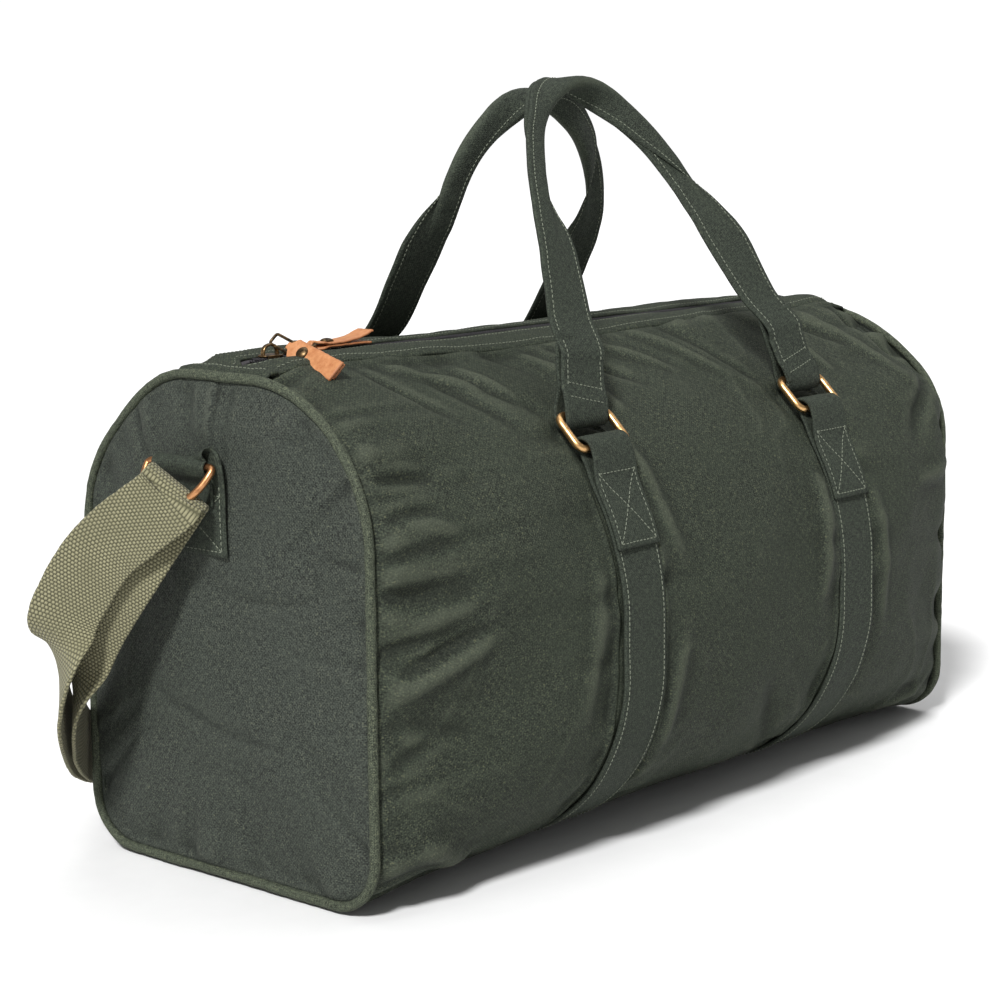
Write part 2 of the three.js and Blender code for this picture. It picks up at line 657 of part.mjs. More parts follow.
// The strap doubles over the bow of a D-ring, from its outer layer to its inner one.
function ringFold(side) {
  const face = foldFace(side);
  const down = foldDown(side);
  const centre = dRingPoint(side, 5.4, DRING.depth).addScaledVector(face, -0.5);
  return spread(0, Math.PI, 9).map((angle) => ({
    at: centre.clone()
      .addScaledVector(face, FOLD.spacing * Math.cos(angle))
      .addScaledVector(down, -FOLD.rise - FOLD.spacing * Math.sin(angle)),
    face: face.clone().multiplyScalar(Math.cos(angle)).addScaledVector(down, -Math.sin(angle)),
    ...WEBBING,
  }));
}

// The webbing's end turned round the adjuster's middle bar, seen from above.
function adjusterTurn() {
  const { x, y, z, rod } = ADJUSTER;
  const radius = rod + 0.6 + WEBBING.thickness / 2;
  const turn = arc(0, 0, radius, -Math.PI / 2, Math.PI / 2, 7)
    .map(([u, v]) => ({ at: V(x + u, y + v, z), face: V(-u, -v, 0).normalize(), ...WEBBING }));
  const tail = { at: V(x - 6, y + radius, z), face: V(0, -1, 0), ...WEBBING };
  return [...turn.map((s) => ({ ...s, face: s.face.negate() })), { ...tail, face: V(0, 1, 0) }];
}

// One length of webbing: sewn end at the far ring, behind the bag, over the near ring and
// back to the adjuster.
function shoulderStrap() {
  const nearFold = ringFold(-1);
  const farFold = ringFold(1);
  const nearOuter = STRAP_ROUTE.map((row, i) => station(row, lerp(8, 9, i / 7)));
  const middle = STRAP_BACK.map((row) => station(row, 6));
  const farOuter = STRAP_ROUTE.map((row) => station(mirrorRow(row), 6)).reverse();
  const inner = STRAP_ROUTE.map((row, i) => {
    const turned = station(row, lerp(-6.5, -2.6, i / 7));
    return { ...turned, face: turned.face.negate() };
  });
  const long = smoothStations([nearFold[0], ...nearOuter, ...middle, ...farOuter, farFold[0]], 4);
  const back = smoothStations([nearFold[8], ...inner], 4);
  const sewn = farFold[8].at.clone()
    .addScaledVector(foldDown(1), FOLD.sewn)
    .addScaledVector(foldFace(1), 8);
  const farEnd = { at: sewn, face: foldFace(1).negate(), ...WEBBING };
  const farTurn = farFold.map((s) => ({ ...s, face: s.face.clone() })).reverse();
  return band([farEnd, ...farTurn, ...long.slice(1, -1).reverse(), ...nearFold, ...back.slice(1),
    ...adjusterTurn()]);
}

function strapAdjuster() {
  const { x, y, z, half, reach, rod } = ADJUSTER;
  const corners = [[1, 1, 0], [-1, 1, 90], [-1, -1, 180], [1, -1, 270]];
  const path = corners.flatMap(([su, sv, start]) => {
    const angle = THREE.MathUtils.degToRad(start);
    return arc(su * (reach - 3), sv * (half - 3), 3, angle, angle + Math.PI / 2, 4);
  }).map(([u, v]) => V(x + u, y, z + v));
  const frame = closedRod(path, V(0, 1, 0), rod);
  const bar = new THREE.CylinderGeometry(rod, rod, 2 * half, 8);
  bar.rotateX(Math.PI / 2);
  bar.translate(x, y, z);
  return join(frame, bar);
}

// ---------------------------------------------------------------- assembly
const bag = new THREE.Group();

function add(name, geometry, finish) {
  const mesh = new THREE.Mesh(geometry, new THREE.MeshStandardMaterial(FINISHES[finish]));
  mesh.name = name;
  bag.add(mesh);
}

add('body_wrap', bodyWrap(), 'canvas');
for (const [end, side] of [['near', -1], ['far', 1]]) {
  add(`end_panel_${end}`, endPanel(side), 'canvas');
  add(`piping_${end}`, piping(side), 'piping');
  add(`seam_binding_${end}`, seamBinding(side), 'canvasDark');
  add(`zip_end_${end}`, zipEnd(side), 'canvas');
  add(`wrap_strap_${end}`, wrapStrap(side * STRAP.x), 'canvas');
  add(`end_tab_${end}`, endTab(side), 'canvasDark');
  add(`d_ring_${end}`, dRing(side), 'brass');
}
for (const [row, side] of [['front', 1], ['back', -1]]) {
  add(`zip_facing_${row}`, zipFacing(side), 'canvas');
  add(`zip_tape_${row}`, zipTape(side), 'zip');
  add(`zip_coil_${row}`, zipCoil(side), 'zip');
  add(`carry_ring_${row}_near`, carryRing(side, -STRAP.x), 'brass');
  add(`carry_ring_${row}_far`, carryRing(side, STRAP.x), 'brass');
  add(`handle_${row}`, handle(row, -side), 'canvasDark');
}
for (const pull of PULLS) {
  add(`zip_slider_${pull.name}`, zipSlider(pull.x), 'darkBrass');
  add(`pull_link_${pull.name}`, pullLink(pull), 'darkBrass');
  add(`leather_pull_${pull.name}`, leatherPull(pull), 'leather');
  add(`pull_rivet_${pull.name}`, pullRivet(pull), 'brass');
}
add('shoulder_strap', shoulderStrap(), 'webbing');
add('strap_adjuster', strapAdjuster(), 'darkBrass');

export default bag;
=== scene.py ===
import itertools
import math

import bpy
import numpy as np
from mathutils import Matrix, Vector


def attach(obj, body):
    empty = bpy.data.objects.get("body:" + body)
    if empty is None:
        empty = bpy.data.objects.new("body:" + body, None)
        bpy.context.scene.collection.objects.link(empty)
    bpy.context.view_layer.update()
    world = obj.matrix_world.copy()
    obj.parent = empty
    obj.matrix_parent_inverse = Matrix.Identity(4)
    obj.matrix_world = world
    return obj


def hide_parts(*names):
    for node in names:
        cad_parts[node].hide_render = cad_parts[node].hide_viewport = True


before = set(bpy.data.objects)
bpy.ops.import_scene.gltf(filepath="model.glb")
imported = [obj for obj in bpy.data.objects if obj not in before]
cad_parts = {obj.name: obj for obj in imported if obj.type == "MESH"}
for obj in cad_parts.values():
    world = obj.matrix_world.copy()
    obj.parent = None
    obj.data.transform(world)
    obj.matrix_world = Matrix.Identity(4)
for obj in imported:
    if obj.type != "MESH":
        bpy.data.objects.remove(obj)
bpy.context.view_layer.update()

MM = 0.001

# ------------------------------------------------------------------ dimensions, as in the CAD
LENGTH, HEIGHT, END_WIDTH = 580, 290, 234
BULGE, BULGE_POWER = 45, 2.8
TOP_RADIUS, BASE_RADIUS = (92, 150), (34, 118)
CROWN_SAG, ZIP_TOP, ZIP_CROWN, ZIP_STRAIGHT = 5, 294.5, (20, 85), 262
MOUTH, FACING_EDGE = 34, 9.3
PIPING, PIPING_DEPTH = 3.1, 3.4
PIPING_X, WRAP_END = 289.5, 287.6
PANEL_DOME, PANEL_STAND, CANVAS_THICK = 9, 1.2, 2.0
BINDING_X, BINDING_DEPTH, BINDING_THICK = (275.5, 278, 281, 284.5), 4.4, 1.2
STRAP_X, STRAP_WIDTH, STRAP_THICK, STRAP_RECESS = 111, 38, 2.2, 2.8
BOX_END = 198
RING_S, RING_LIFT, RING_HALF, RING_REACH, RING_CORNER, RING_ROD = 127, 6.5, 22.3, 12.3, 5, 2.3
# A strap's loop over a ring's bar: its radius, how far it drops, and its place along the strap.
LOOP, LOOP_DROP, LOOP_ALONG = RING_ROD + 0.7 + STRAP_THICK / 2, 7.6, 60
TAB_FACE, TAB_OUT, TAB_BAR, TAB_BASE, TAB_Y = 299.8, 6.2, 239, 187, 13
TAB_WIDTH, TAB_THICK = 49, 2.0
DRING_HALF, DRING_DEPTH, DRING_ROD, DRING_TILT = 26, 27, 2.1, math.radians(35)
SLIDERS = {"near": -249, "far": -229}
SLIDER_LOW, SLIDER_HIGH, SLIDER_PLATE = ZIP_TOP - 3.4 - 0.4, ZIP_TOP - 1.0 + 0.4, 1.3
X_AXIS, Y_AXIS = np.array([1.0, 0, 0]), np.array([0, 1.0, 0])


# ------------------------------------------------------------------ number helpers
def unit(v):
    return v / np.maximum(np.linalg.norm(v, axis=-1, keepdims=True), 1e-9)


def smooth(value, low, high):
    t = np.clip((value - low) / (high - low), 0, 1)
    return t * t * (3 - 2 * t)


def mix(a, b, t):
    return a + (b - a) * t


def hashed(cells, seed):
    total = np.full(np.shape(cells[0]), seed * 144665, np.int64)
    for cell, prime in zip(cells, (374761393, 668265263, 1013904223)):
        total = total + cell.astype(np.int64) * prime
    total = total & 0xFFFFFFFF
    total = ((total ^ (total >> 13)) * 1274126177) & 0xFFFFFFFF
    return (total ^ (total >> 16)) / 2147483648.0 - 1.0


def noise(*coords, seed=0):
    """Smooth value noise from -1 to 1 over coordinates counted in cells."""
    coords = np.broadcast_arrays(*[np.asarray(c, float) for c in coords])
    base = [np.floor(c) for c in coords]
    part = [c - b for c, b in zip(coords, base)]
    part = [f * f * f * (f * (f * 6 - 15) + 10) for f in part]
    total = 0.0
    for corner in itertools.product((0, 1), repeat=len(coords)):
        weight = 1.0
        for bit, f in zip(corner, part):
            weight = weight * (f if bit else 1 - f)
        total = total + weight * hashed([b + bit for b, bit in zip(base, corner)], seed)
    return total


def turned_noise(u, v, cell, seed):
    """Two layers of noise at different angles, so that no grid shows."""
    a = noise(u / cell, v / cell, seed=seed)
    b = noise((0.8 * u + 0.6 * v) / cell + 7.3, (0.8 * v - 0.6 * u) / cell, seed=seed + 1)
    return 0.7 * (a + b)


def crease(u, v, cell, seed):
    """Narrow ridges where the noise changes sign, 0 to 1."""
    return (1 - np.minimum(1, np.abs(turned_noise(u, v, cell, seed)))) ** 5


def pucker(along, across, cell, seed):
    """Narrow valleys, as where stitches gather cloth: rare along one way, long the other way, 0 to 1."""
    value = noise(along / cell, across / cell, seed=seed)
    value = value + 0.35 * noise(2.3 * along / cell, across / cell, seed=seed + 1)
    return np.exp(-(value / 0.42) ** 2)


def lengths(path):
    steps = np.linalg.norm(np.diff(path, axis=0), axis=1)
    return np.concatenate([[0], np.cumsum(steps)])


def sampled(grid, along, stops):
    """The rows of a grid, interpolated at some distances along it."""
    return np.stack([np.interp(stops, along, grid[:, k]) for k in range(grid.shape[1])], 1)


def catmull(points, step):
    """A smooth curve through the points, sampled about every step."""
    points = np.asarray(points, float)
    padded = np.vstack([2 * points[0] - points[1], points, 2 * points[-1] - points[-2]])
    curve = []
    for i in range(len(points) - 1):
        p0, p1, p2, p3 = padded[i:i + 4]
        count = max(2, int(np.linalg.norm((p2 - p1)[:3]) / step) + 1)
        t = np.linspace(0, 1, count, endpoint=False)[:, None]
        curve.append(0.5 * (2 * p1 + (p2 - p0) * t + (2 * p0 - 5 * p1 + 4 * p2 - p3) * t ** 2
                            + (3 * p1 - p0 - 3 * p2 + p3) * t ** 3))
    return np.vstack(curve + [points[-1:]])


def even(path, step):
    """Resamples a polyline at even spacing, with any columns that follow its x, y and z."""
    along = lengths(path[:, :3])
    return sampled(path, along, np.linspace(0, along[-1], max(2, int(along[-1] / step) + 1)))


# ------------------------------------------------------------------ mesh helpers
def make_mesh(name, vertices, faces, corner_uv, material, wear_and_shade=None):
    mesh = bpy.data.meshes.new(name)
    mesh.from_pydata((vertices * MM).tolist(), [], faces)
    layer = mesh.uv_layers.new(name="UVMap")
    layer.data.foreach_set("uv", (np.asarray(corner_uv) * MM).astype(np.float32).ravel())
    # This attribute holds rubbed wear, and on the canvas also painted highlight on ridges and painted shade
    # in furrows.
    if wear_and_shade is not None:
        attribute = mesh.attributes.new("wear_and_shade", "FLOAT", "POINT")
        attribute.data.foreach_set("value", np.asarray(wear_and_shade, np.float32).ravel())
    mesh.polygons.foreach_set("use_smooth", np.ones(len(mesh.polygons), bool))
    mesh.materials.append(material)
    mesh.update()
    label = name + "_look" if name in bpy.data.objects else name
    piece = bpy.data.objects.new(label, mesh)
    bpy.context.scene.collection.objects.link(piece)
    return piece


def finish_piece(piece, body, replaced=None):
    """Gives a piece the body it rides on, and hides the CAD part it stands in for."""
    if replaced:
        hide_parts(replaced)
    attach(piece, body)


def there_and_back(out, back):
    """A grid's columns, then another's in reverse, as when a strip is gone round."""
    return np.concatenate([out, back[:, ::-1]], 1)


def surface(name, points, u, v, material, closed=False, caps="face", wear_and_shade=None):
    """A closed mesh over a grid of points whose columns run round it, turned to face out.

    The rows run on into the first one when closed. If not, caps shuts the first and last row, with one
    "face" or with a "strip" of quads between the two layers of a sheet.
    """
    rows, columns = points.shape[:2]
    i, j = np.meshgrid(np.arange(rows - 1 + closed), np.arange(columns), indexing="ij")
    i, j = i.ravel(), j.ravel()
    corners = ((0, 0), (1, 0), (1, 1), (0, 1))
    faces = np.stack([((i + a) % rows) * columns + (j + b) % columns for a, b in corners], 1)
    uv = np.stack([np.stack([u[i + a, j + b], v[i + a, j + b]], 1) for a, b in corners], 1)
    flat = points.reshape(-1, 3)
    p = flat[faces] - flat.mean(0)
    volume = np.einsum("ij,ij->i", p[:, 0], np.cross(p[:, 1], p[:, 2]) + np.cross(p[:, 2], p[:, 3])).sum()
    ends = []
    if not closed:
        first = [list(range(columns))]
        if caps == "strip":
            first = [[k, k + 1, columns - 2 - k, columns - 1 - k] for k in range(columns // 2 - 1)]
        ends = first + [[(rows - 1) * columns + k for k in reversed(end)] for end in first]
    if volume < 0:
        faces, uv = faces[:, ::-1], uv[:, ::-1]
        ends = [end[::-1] for end in ends]
    corner_uv = uv.reshape(-1, 2)
    if ends:
        corner_uv = np.vstack([corner_uv, np.zeros((sum(map(len, ends)), 2))])
    return make_mesh(name, flat, faces.tolist() + ends, corner_uv, material, wear_and_shade)


def shell(name, outer, inner, u, v, material, wear_and_shade=None):
    """A closed sheet between two grids: out over one side, round the rim and back over the other."""
    around = np.concatenate([v, 2 * v[:, -1:] - v[:, ::-1], v[:, :1]], 1)
    along = np.concatenate([u, u[:, ::-1], u[:, :1]], 1)
    both = None if wear_and_shade is None else there_and_back(wear_and_shade, wear_and_shade)
    return surface(name, there_and_back(outer, inner), along, around, material, caps="strip", wear_and_shade=both)


def tube(name, path, radius, material, closed, sides, normal=None):
    """A round rod along a path. radius is a number or one value for each point and side.

    normal is the way its sides are counted from, or None for one carried along the path.
    """
    count = len(path)
    if closed:
        tangent = unit(np.roll(path, -1, 0) - np.roll(path, 1, 0))
    else:
        tangent = unit(np.gradient(path, axis=0))
    if normal is None:
        normal = np.zeros((count, 3))
        seed = np.array([0.0, 0.0, 1.0]) if abs(tangent[0][2]) < 0.8 else np.array([1.0, 0.0, 0.0])
        for k in range(count):
            seed = unit(seed - tangent[k] * (seed @ tangent[k]))
            normal[k] = seed
    else:
        normal = np.tile(normal, (count, 1))
        normal = unit(normal - tangent * np.sum(normal * tangent, 1, keepdims=True))
    side = np.cross(tangent, normal)
    angle = np.linspace(0, 2 * np.pi, sides, endpoint=False)
    ring = np.cos(angle)[None, :, None] * side[:, None] + np.sin(angle)[None, :, None] * normal[:, None]
    radius = np.broadcast_to(np.asarray(radius, float), (count, sides))
    points = path[:, None] + ring * radius[..., None]
    around = np.linspace(0, 2 * np.pi, sides + 1) * float(radius.mean())
    along = lengths(np.vstack([path, path[:1]])) if closed else lengths(path)
    u, v = np.meshgrid(along, around, indexing="ij")
    return surface(name, points, u, v, material, closed)


class Ribbon:
    """A flat strip along a path. face is the broad side's normal at each point."""

    def __init__(self, path, face, width, thickness, relief, columns):
        self.path = path
        self.tangent = unit(np.gradient(path, axis=0))
        self.across = unit(np.cross(face, self.tangent))
        self.face = np.cross(self.tangent, self.across)
        self.width = np.broadcast_to(np.asarray(width, float), (len(path),))
        self.thickness = thickness
        self.relief = relief or (lambda along, across: 0 * along * across)
        self.along = lengths(path)
        self.columns = columns

    def build(self, name, material, wear_and_shade=None):
        t = np.linspace(-1, 1, self.columns)
        place = np.sign(t) * (1 - (1 - np.abs(t)) ** 1.5)
        half = self.width[:, None] / 2
        across = place[None] * half
        rim = min(1.0, self.thickness / 2)
        inset = np.clip((np.abs(across) - (half - rim)) / rim, 0, 1)
        height = self.thickness / 2 * np.sqrt(1 - inset ** 2 * 0.99)
        lift = self.relief(self.along[:, None], across)
        middle = self.path[:, None] + self.across[:, None] * across[..., None]
        up = self.face[:, None]
        top = middle + up * (lift + height)[..., None]
        low = middle + up * (lift - height)[..., None]
        u = np.repeat(self.along[:, None], 2 * self.columns + 1, 1)
        v = np.concatenate([across, 2 * half - across[:, ::-1] + 2, 4 * half + across[:, :1] + 4], 1)
        if wear_and_shade:
            wear_and_shading = wear_and_shade(self.along[:, None], across)
            wear_and_shade = there_and_back(wear_and_shading, wear_and_shading)
        return surface(name, there_and_back(top, low), u, v, material, wear_and_shade=wear_and_shade)

    def at(self, along, across, side=1):
        """Points on a broad side, and its normals there."""
        along, across = np.asarray(along, float), np.asarray(across, float)
        path, width, face = (sampled(grid, self.along, along) for grid in (self.path, self.across, self.face))
        face = unit(face)
        lift = self.relief(along[:, None], across[:, None])[:, 0] + side * self.thickness / 2
        return path + width * across[:, None] + face * lift[:, None], face * side


# ------------------------------------------------------------------ stitches
THREAD = {}
STITCH_PITCH, STITCH_LENGTH, THREAD_RADIUS = 3.1, 2.3, 0.3
# The rings of one stitch: place along it, share of the thread's radius, and rise above the cloth.
STITCH_RINGS = [(-0.5, 0.45, -0.5), (-0.32, 1, 0.1), (0, 1.05, 0.3), (0.32, 1, 0.1), (0.5, 0.45, -0.5)]


def sew(key, points, normals):
    """Stitches along a line of points, kept until the piece's thread is made."""
    along = lengths(points)
    count = int(along[-1] / STITCH_PITCH)
    if count < 1:
        return
    stops = (np.arange(count) + 0.5) * along[-1] / count
    centre = sampled(points, along, stops)
    normal = unit(sampled(normals, along, stops))
    tangent = unit(sampled(np.gradient(points, axis=0), along, stops))
    tangent = unit(tangent - normal * np.sum(tangent * normal, 1, keepdims=True))
    side = np.cross(tangent, normal)
    sway = side * (0.12 * noise(stops / STITCH_PITCH, seed=len(THREAD) + 5))[:, None]
    angle = np.linspace(0, 2 * np.pi, 6, endpoint=False)[None, :, None]
    round_thread = side[:, None] * np.cos(angle) + normal[:, None] * np.sin(angle)
    rings = []
    for place, size, rise in STITCH_RINGS:
        middle = centre + tangent * (place * STITCH_LENGTH) + normal * (rise * THREAD_RADIUS) + sway
        rings.append(middle[:, None] + THREAD_RADIUS * size * round_thread)
    THREAD.setdefault(key, []).append(np.stack(rings, 1))


def make_threads(material):
    """One mesh of stitches for each key (name, body, slot)."""
    for (name, body, slot), parts in THREAD.items():
        rings = np.concatenate(parts)
        count, levels, sides = rings.shape[:3]
        one = []
        for a in range(levels - 1):
            for b in range(sides):
                c = (b + 1) % sides
                one.append([a * sides + b, (a + 1) * sides + b, (a + 1) * sides + c, a * sides + c])
        one = np.array(one)
        faces = (np.arange(count)[:, None, None] * levels * sides + one[None]).reshape(-1, 4)
        piece = make_mesh(name, rings.reshape(-1, 3), faces.tolist(), np.zeros((faces.size, 2)), material)
        finish_piece(piece, body)


# ------------------------------------------------------------------ the bag's outer skin
def section(x):
    swell = 1 - np.abs(2 * x / LENGTH) ** BULGE_POWER
    past = np.maximum(0, np.abs(x) - ZIP_STRAIGHT) / (LENGTH / 2 - ZIP_STRAIGHT)
    height = HEIGHT - CROWN_SAG * (1 - (2 * x / LENGTH) ** 2)
    top = mix(TOP_RADIUS[0], TOP_RADIUS[1], swell)
    base = mix(BASE_RADIUS[0], BASE_RADIUS[1], swell)
    return END_WIDTH / 2 + BULGE * swell, height, top, base, (ZIP_TOP - height) * (1 - past) ** 2


def half_girth(x):
    half, height, top, base, _ = section(np.asarray(x, float))
    return 2 * half + height - 2 * (top + base) + np.pi / 2 * (top + base)


def skin(x, s, depth=0.0, shape=None):
    """Points of the skin, and its normals across the bag. s runs from the zip line, positive to the front."""
    x, s, depth = np.broadcast_arrays(*[np.asarray(a, float) for a in (x, s, depth)])
    half, height, top, base, crown = section(x if shape is None else np.asarray(shape, float) + 0 * x)
    run = np.abs(s)
    shoulder = half - top
    wall = shoulder + np.pi / 2 * top
    corner = wall + height - top - base
    floor = corner + np.pi / 2 * base
    a = (run - shoulder) / top
    b = (run - corner) / base
    zones = [run > floor, run > corner, run > wall, run > shoulder]
    y = np.select(zones, [half - base - (run - floor), half - base + base * np.cos(b), half,
                          shoulder + top * np.sin(a)], run)
    z = np.select(zones, [0 * run, base - base * np.sin(b), height - top - (run - wall),
                          height - top + top * np.cos(a)], height)
    ny = np.select(zones, [0 * run, np.cos(b), 1 + 0 * run, np.sin(a)], 0.0)
    nz = np.select(zones, [-1 + 0 * run, -np.sin(b), 0 * run, np.cos(a)], 1.0)
    side = np.where(s >= 0, -1.0, 1.0)
    raised = crown * (1 - smooth(run, *ZIP_CROWN))
    points = np.stack([x, side * (y - depth * ny), z - depth * nz + raised], -1)
    return points, np.stack([0 * x, side * ny, nz], -1)


# Where the soft shell has settled: centre, radius and move of each soft dent or swell.
SETTLED = [
    ((286, -75, 285), (75, 60, 60), (-3, 3, -8)),
    ((285, 60, 290), (70, 60, 50), (-2, 0, -3)),
    ((-288, 88, 275), (60, 40, 60), (2, -5, -5)),
    ((-60, -40, 300), (110, 60, 60), (0, 0, -3)),
    ((258, -120, 200), (24, 90, 90), (0, -5, 2)),
    ((255, -40, 285), (26, 60, 50), (0, -2, 5)),
    ((-205, 0, 300), (60, 70, 60), (0, 0, 1.6)),
    ((160, 10, 300), (80, 70, 60), (0, 0, 2)),
]


def settle(points):
    moved = points.copy()
    by_zip = mix(1, smooth(np.abs(points[..., 1]), 5, 26), smooth(points[..., 2], 240, 275))[..., None]
    for centre, radius, move in SETTLED:
        reach = np.sum(((points - np.array(centre)) / np.array(radius)) ** 2, -1)
        moved = moved + np.exp(-reach)[..., None] * by_zip * np.array(move, float)
    return moved


def end_outline(x, depth, count):
    """The end's full outline as an evenly spaced loop, set at x and inset by depth."""
    s = np.linspace(0, half_girth(LENGTH / 2), 400)
    s = np.concatenate([s, -s[-2:0:-1]])
    loop, _ = skin(np.full_like(s, x), s, depth, LENGTH / 2)
    loop = np.vstack([loop, loop[:1]])
    along = lengths(loop)
    return sampled(loop, along, np.linspace(0, along[-1], count, endpoint=False))


def strap_distance(x):
    """Distance from the nearer edge of a wrap-round strap, negative under it."""
    return np.abs(np.abs(x) - STRAP_X) - STRAP_WIDTH / 2


def cloth_relief(x, s):
    """How far the stuffed canvas stands out from the plain skin: soft swells, seam puckers and creases."""
    edge = mix(40, strap_distance(x), smooth(np.abs(s), 104, 124))
    end = WRAP_END - np.abs(x)
    mouth = np.abs(s) - MOUTH
    girth = half_girth(x)
    under = smooth(girth - np.abs(s), 60, 125)
    relief = 2.6 * turned_noise(x, s, 105, 11) + 2.1 * turned_noise(x, s, 46, 13)
    relief += 1.1 * (crease(x, 0.6 * s, 34, 17) - 0.4) * smooth(turned_noise(x, s, 80, 19), -0.5, 0.5)
    relief += 0.26 * turned_noise(x, s, 11, 23)
    by_strap = np.exp(-np.maximum(edge, 0) / 15)
    relief += by_strap * (2.6 * turned_noise(0.35 * x, s, 17, 29) - 0.3)
    by_end = np.exp(-end / 24)
    relief += by_end * (5.4 * turned_noise(0.22 * x, s, 15, 31) - 0.2)
    relief -= 5.2 * np.exp(-end / 38) * pucker(s, 0.12 * x, 26, 33)
    by_mouth = np.exp(-np.maximum(mouth, 0) / 26)
    relief += by_mouth * (2.4 * turned_noise(x, 0.25 * s, 19, 37) + 0.5)
    relief -= 3.4 * np.exp(-np.maximum(mouth, 0) / 34) * pucker(x - 0.5 * np.abs(s), 0.12 * s, 36, 39)
    relief -= 3.2 * np.exp(-np.maximum(edge, 0) / 22) * pucker(s, 0.16 * x, 40, 41)
    under_pull = np.exp(-((x + 246) / 24) ** 2 - ((s - 46) / 24) ** 2)
    relief = relief * (1 - under_pull) - 1.5 * under_pull
    for x0, s0, x1, s1, width, height in FOLDS:
        ax, ay = x1 - x0, s1 - s0
        t = np.clip(((x - x0) * ax + (s - s0) * ay) / (ax * ax + ay * ay), 0, 1)
        away = np.hypot(x - x0 - t * ax, s - s0 - t * ay)
        relief += 3.0 * height * np.exp(-(away / width) ** 2) * np.sin(np.pi * np.clip(t, 0.03, 0.97)) ** 0.7
    tuck = -3.8 * np.exp(-end / 3.4) - 1.8 * np.exp(-np.maximum(mouth, 0) / 2.2)
    return relief * under * smooth(edge, -2, 7) * smooth(end, -2, 10) * smooth(mouth, -0.5, 6) + tuck


# Folds pressed into the canvas: from x, s to x, s, then width and height.
FOLDS = [
    (-226, 44, -196, 100, 4, -1.4), (-206, 38, -150, 78, 5, 1.5),
    (-186, 40, -158, 120, 6, -1.2), (-150, 44, -136, 104, 4, 1.2), (-84, 38, -62, 118, 6, 1.6),
    (-58, 36, -20, 92, 5, -1.6), (-30, 38, 20, 84, 5, 1.4), (24, 36, 60, 96, 5, 1.5),
    (62, 38, 84, 112, 5, -1.3), (140, 36, 172, 112, 6, 1.7), (176, 38, 226, 88, 5, -1.4),
    (206, 40, 246, 128, 7, 1.6), (254, 36, 272, 124, 6, -3.0), (276, 120, 214, 166, 7, -1.8),
    (268, 190, 196, 196, 6, 1.5),
    (-86, 120, -70, 214, 6, 1.4), (-72, 250, -84, 330, 6, 1.2), (84, 170, 70, 262, 6, 1.4),
    (138, 190, 152, 290, 6, 1.3), (-142, 200, -158, 300, 6, 1.0), (-268, 330, -214, 372, 8, 1.8),
    (-282, 128, -236, 134, 4, -1.8), (-282, 150, -248, 152, 4, -1.0), (-282, 246, -218, 228, 5, 1.4),
    (-282, 236, -226, 222, 4, -1.4), (-282, 284, -250, 276, 5, -1.2), (-128, 112, -158, 60, 6, -1.5),
    (-92, 66, -84, 122, 4, -1.2), (-282, 196, -226, 198, 7, -1.0),
    (-270, 372, -190, 386, 6, -1.5), (270, 340, 214, 380, 7, 1.6), (20, 300, 66, 372, 9, -1.3),
    (-276, 150, -236, 168, 5, 1.0), (-276, 212, -230, 206, 5, 1.0), (-276, 262, -226, 280, 6, -1.0),
    (-250, -60, -190, -110, 6, 1.6), (-60, -44, -10, -110, 6, -1.5), (40, -46, 80, -120, 6, 1.5),
    (150, -50, 210, -130, 7, 1.7), (-160, -210, -220, -300, 8, 1.4), (-40, -180, 40, -240, 8, 1.4),
    (180, -240, 260, -300, 8, -1.5), (-260, -330, -190, -380, 7, 1.6), (60, -300, 84, -380, 7, 1.2),
]


def stations(low, high, step, *dense):
    """Evenly spaced numbers with extra ones close to each dense value."""
    numbers = [np.linspace(low, high, int((high - low) / step) + 1)]
    for value in dense:
        near = value + np.array([-5, -3.4, -2.2, -1.2, -0.4, 0.4, 1.2, 2.2, 3.4, 5.0])
        numbers.append(near[(near > low) & (near < high)])
    numbers = np.sort(np.concatenate(numbers))
    return numbers[np.concatenate([[True], np.diff(numbers) > 0.25])]


def wear_and_shade_of(relief):
    """Ridges of the relief, up to 1, which the canvas paints paler, partly as wax rubbed off and partly as
    painted highlight, and furrows, down to -1, which it paints darker as painted shade in the creases.
    """
    round_it = np.roll(relief, 3, 0) + np.roll(relief, -3, 0) + np.roll(relief, 3, 1) + np.roll(relief, -3, 1)
    return np.clip((relief - round_it / 4) * 2.2 / 2.5, -1, 1)


def body_wrap(material):
    """Front, underside and back in one piece of canvas, from zip facing to zip facing."""
    half = STRAP_WIDTH / 2
    edges = [sign * (STRAP_X + offset) for sign in (-1, 1) for offset in (-half, half)]
    x = stations(-WRAP_END, WRAP_END, 2.4, *edges, -WRAP_END, WRAP_END)[:, None]
    girth = half_girth(x)
    t = np.concatenate([[0, 0.0015, 0.004, 0.008], np.linspace(0.014, 1, 220)])
    front = MOUTH + (girth - MOUTH) * t[None]
    s = np.concatenate([front, -front[:, -2::-1]], 1)
    relief = cloth_relief(x, s)
    recess = STRAP_RECESS * (1 - smooth(strap_distance(x), -0.5, 2.2)) * smooth(np.abs(s), 108, 121)
    end_depth = PIPING_DEPTH * smooth(np.abs(x), 279, WRAP_END)
    depth = recess + end_depth - relief
    points, _ = skin(x, s, depth)
    inner, _ = skin(x, s, recess + end_depth + CANVAS_THICK - np.minimum(relief, 0))
    run = np.concatenate([front, 2 * girth - front[:, -2::-1]], 1)
    u = np.repeat(x, s.shape[1], 1)
    # The relief's ridges and furrows go to the material, which paints ridges paler as wear and painted
    # highlight and furrows darker as painted shade.
    piece = shell("canvas_wrap", settle(points), settle(inner), u, run, material, wear_and_shade_of(relief))
    finish_piece(piece, "bag", "body_wrap")


def panel_face(y, z):
    """Distance of an end panel's smooth, domed face from the middle of the bag."""
    dome = PANEL_DOME * (1 - (2 * y / END_WIDTH) ** 2) * (1 - (2 * z / HEIGHT - 1) ** 2)
    return LENGTH / 2 + PANEL_STAND + dome


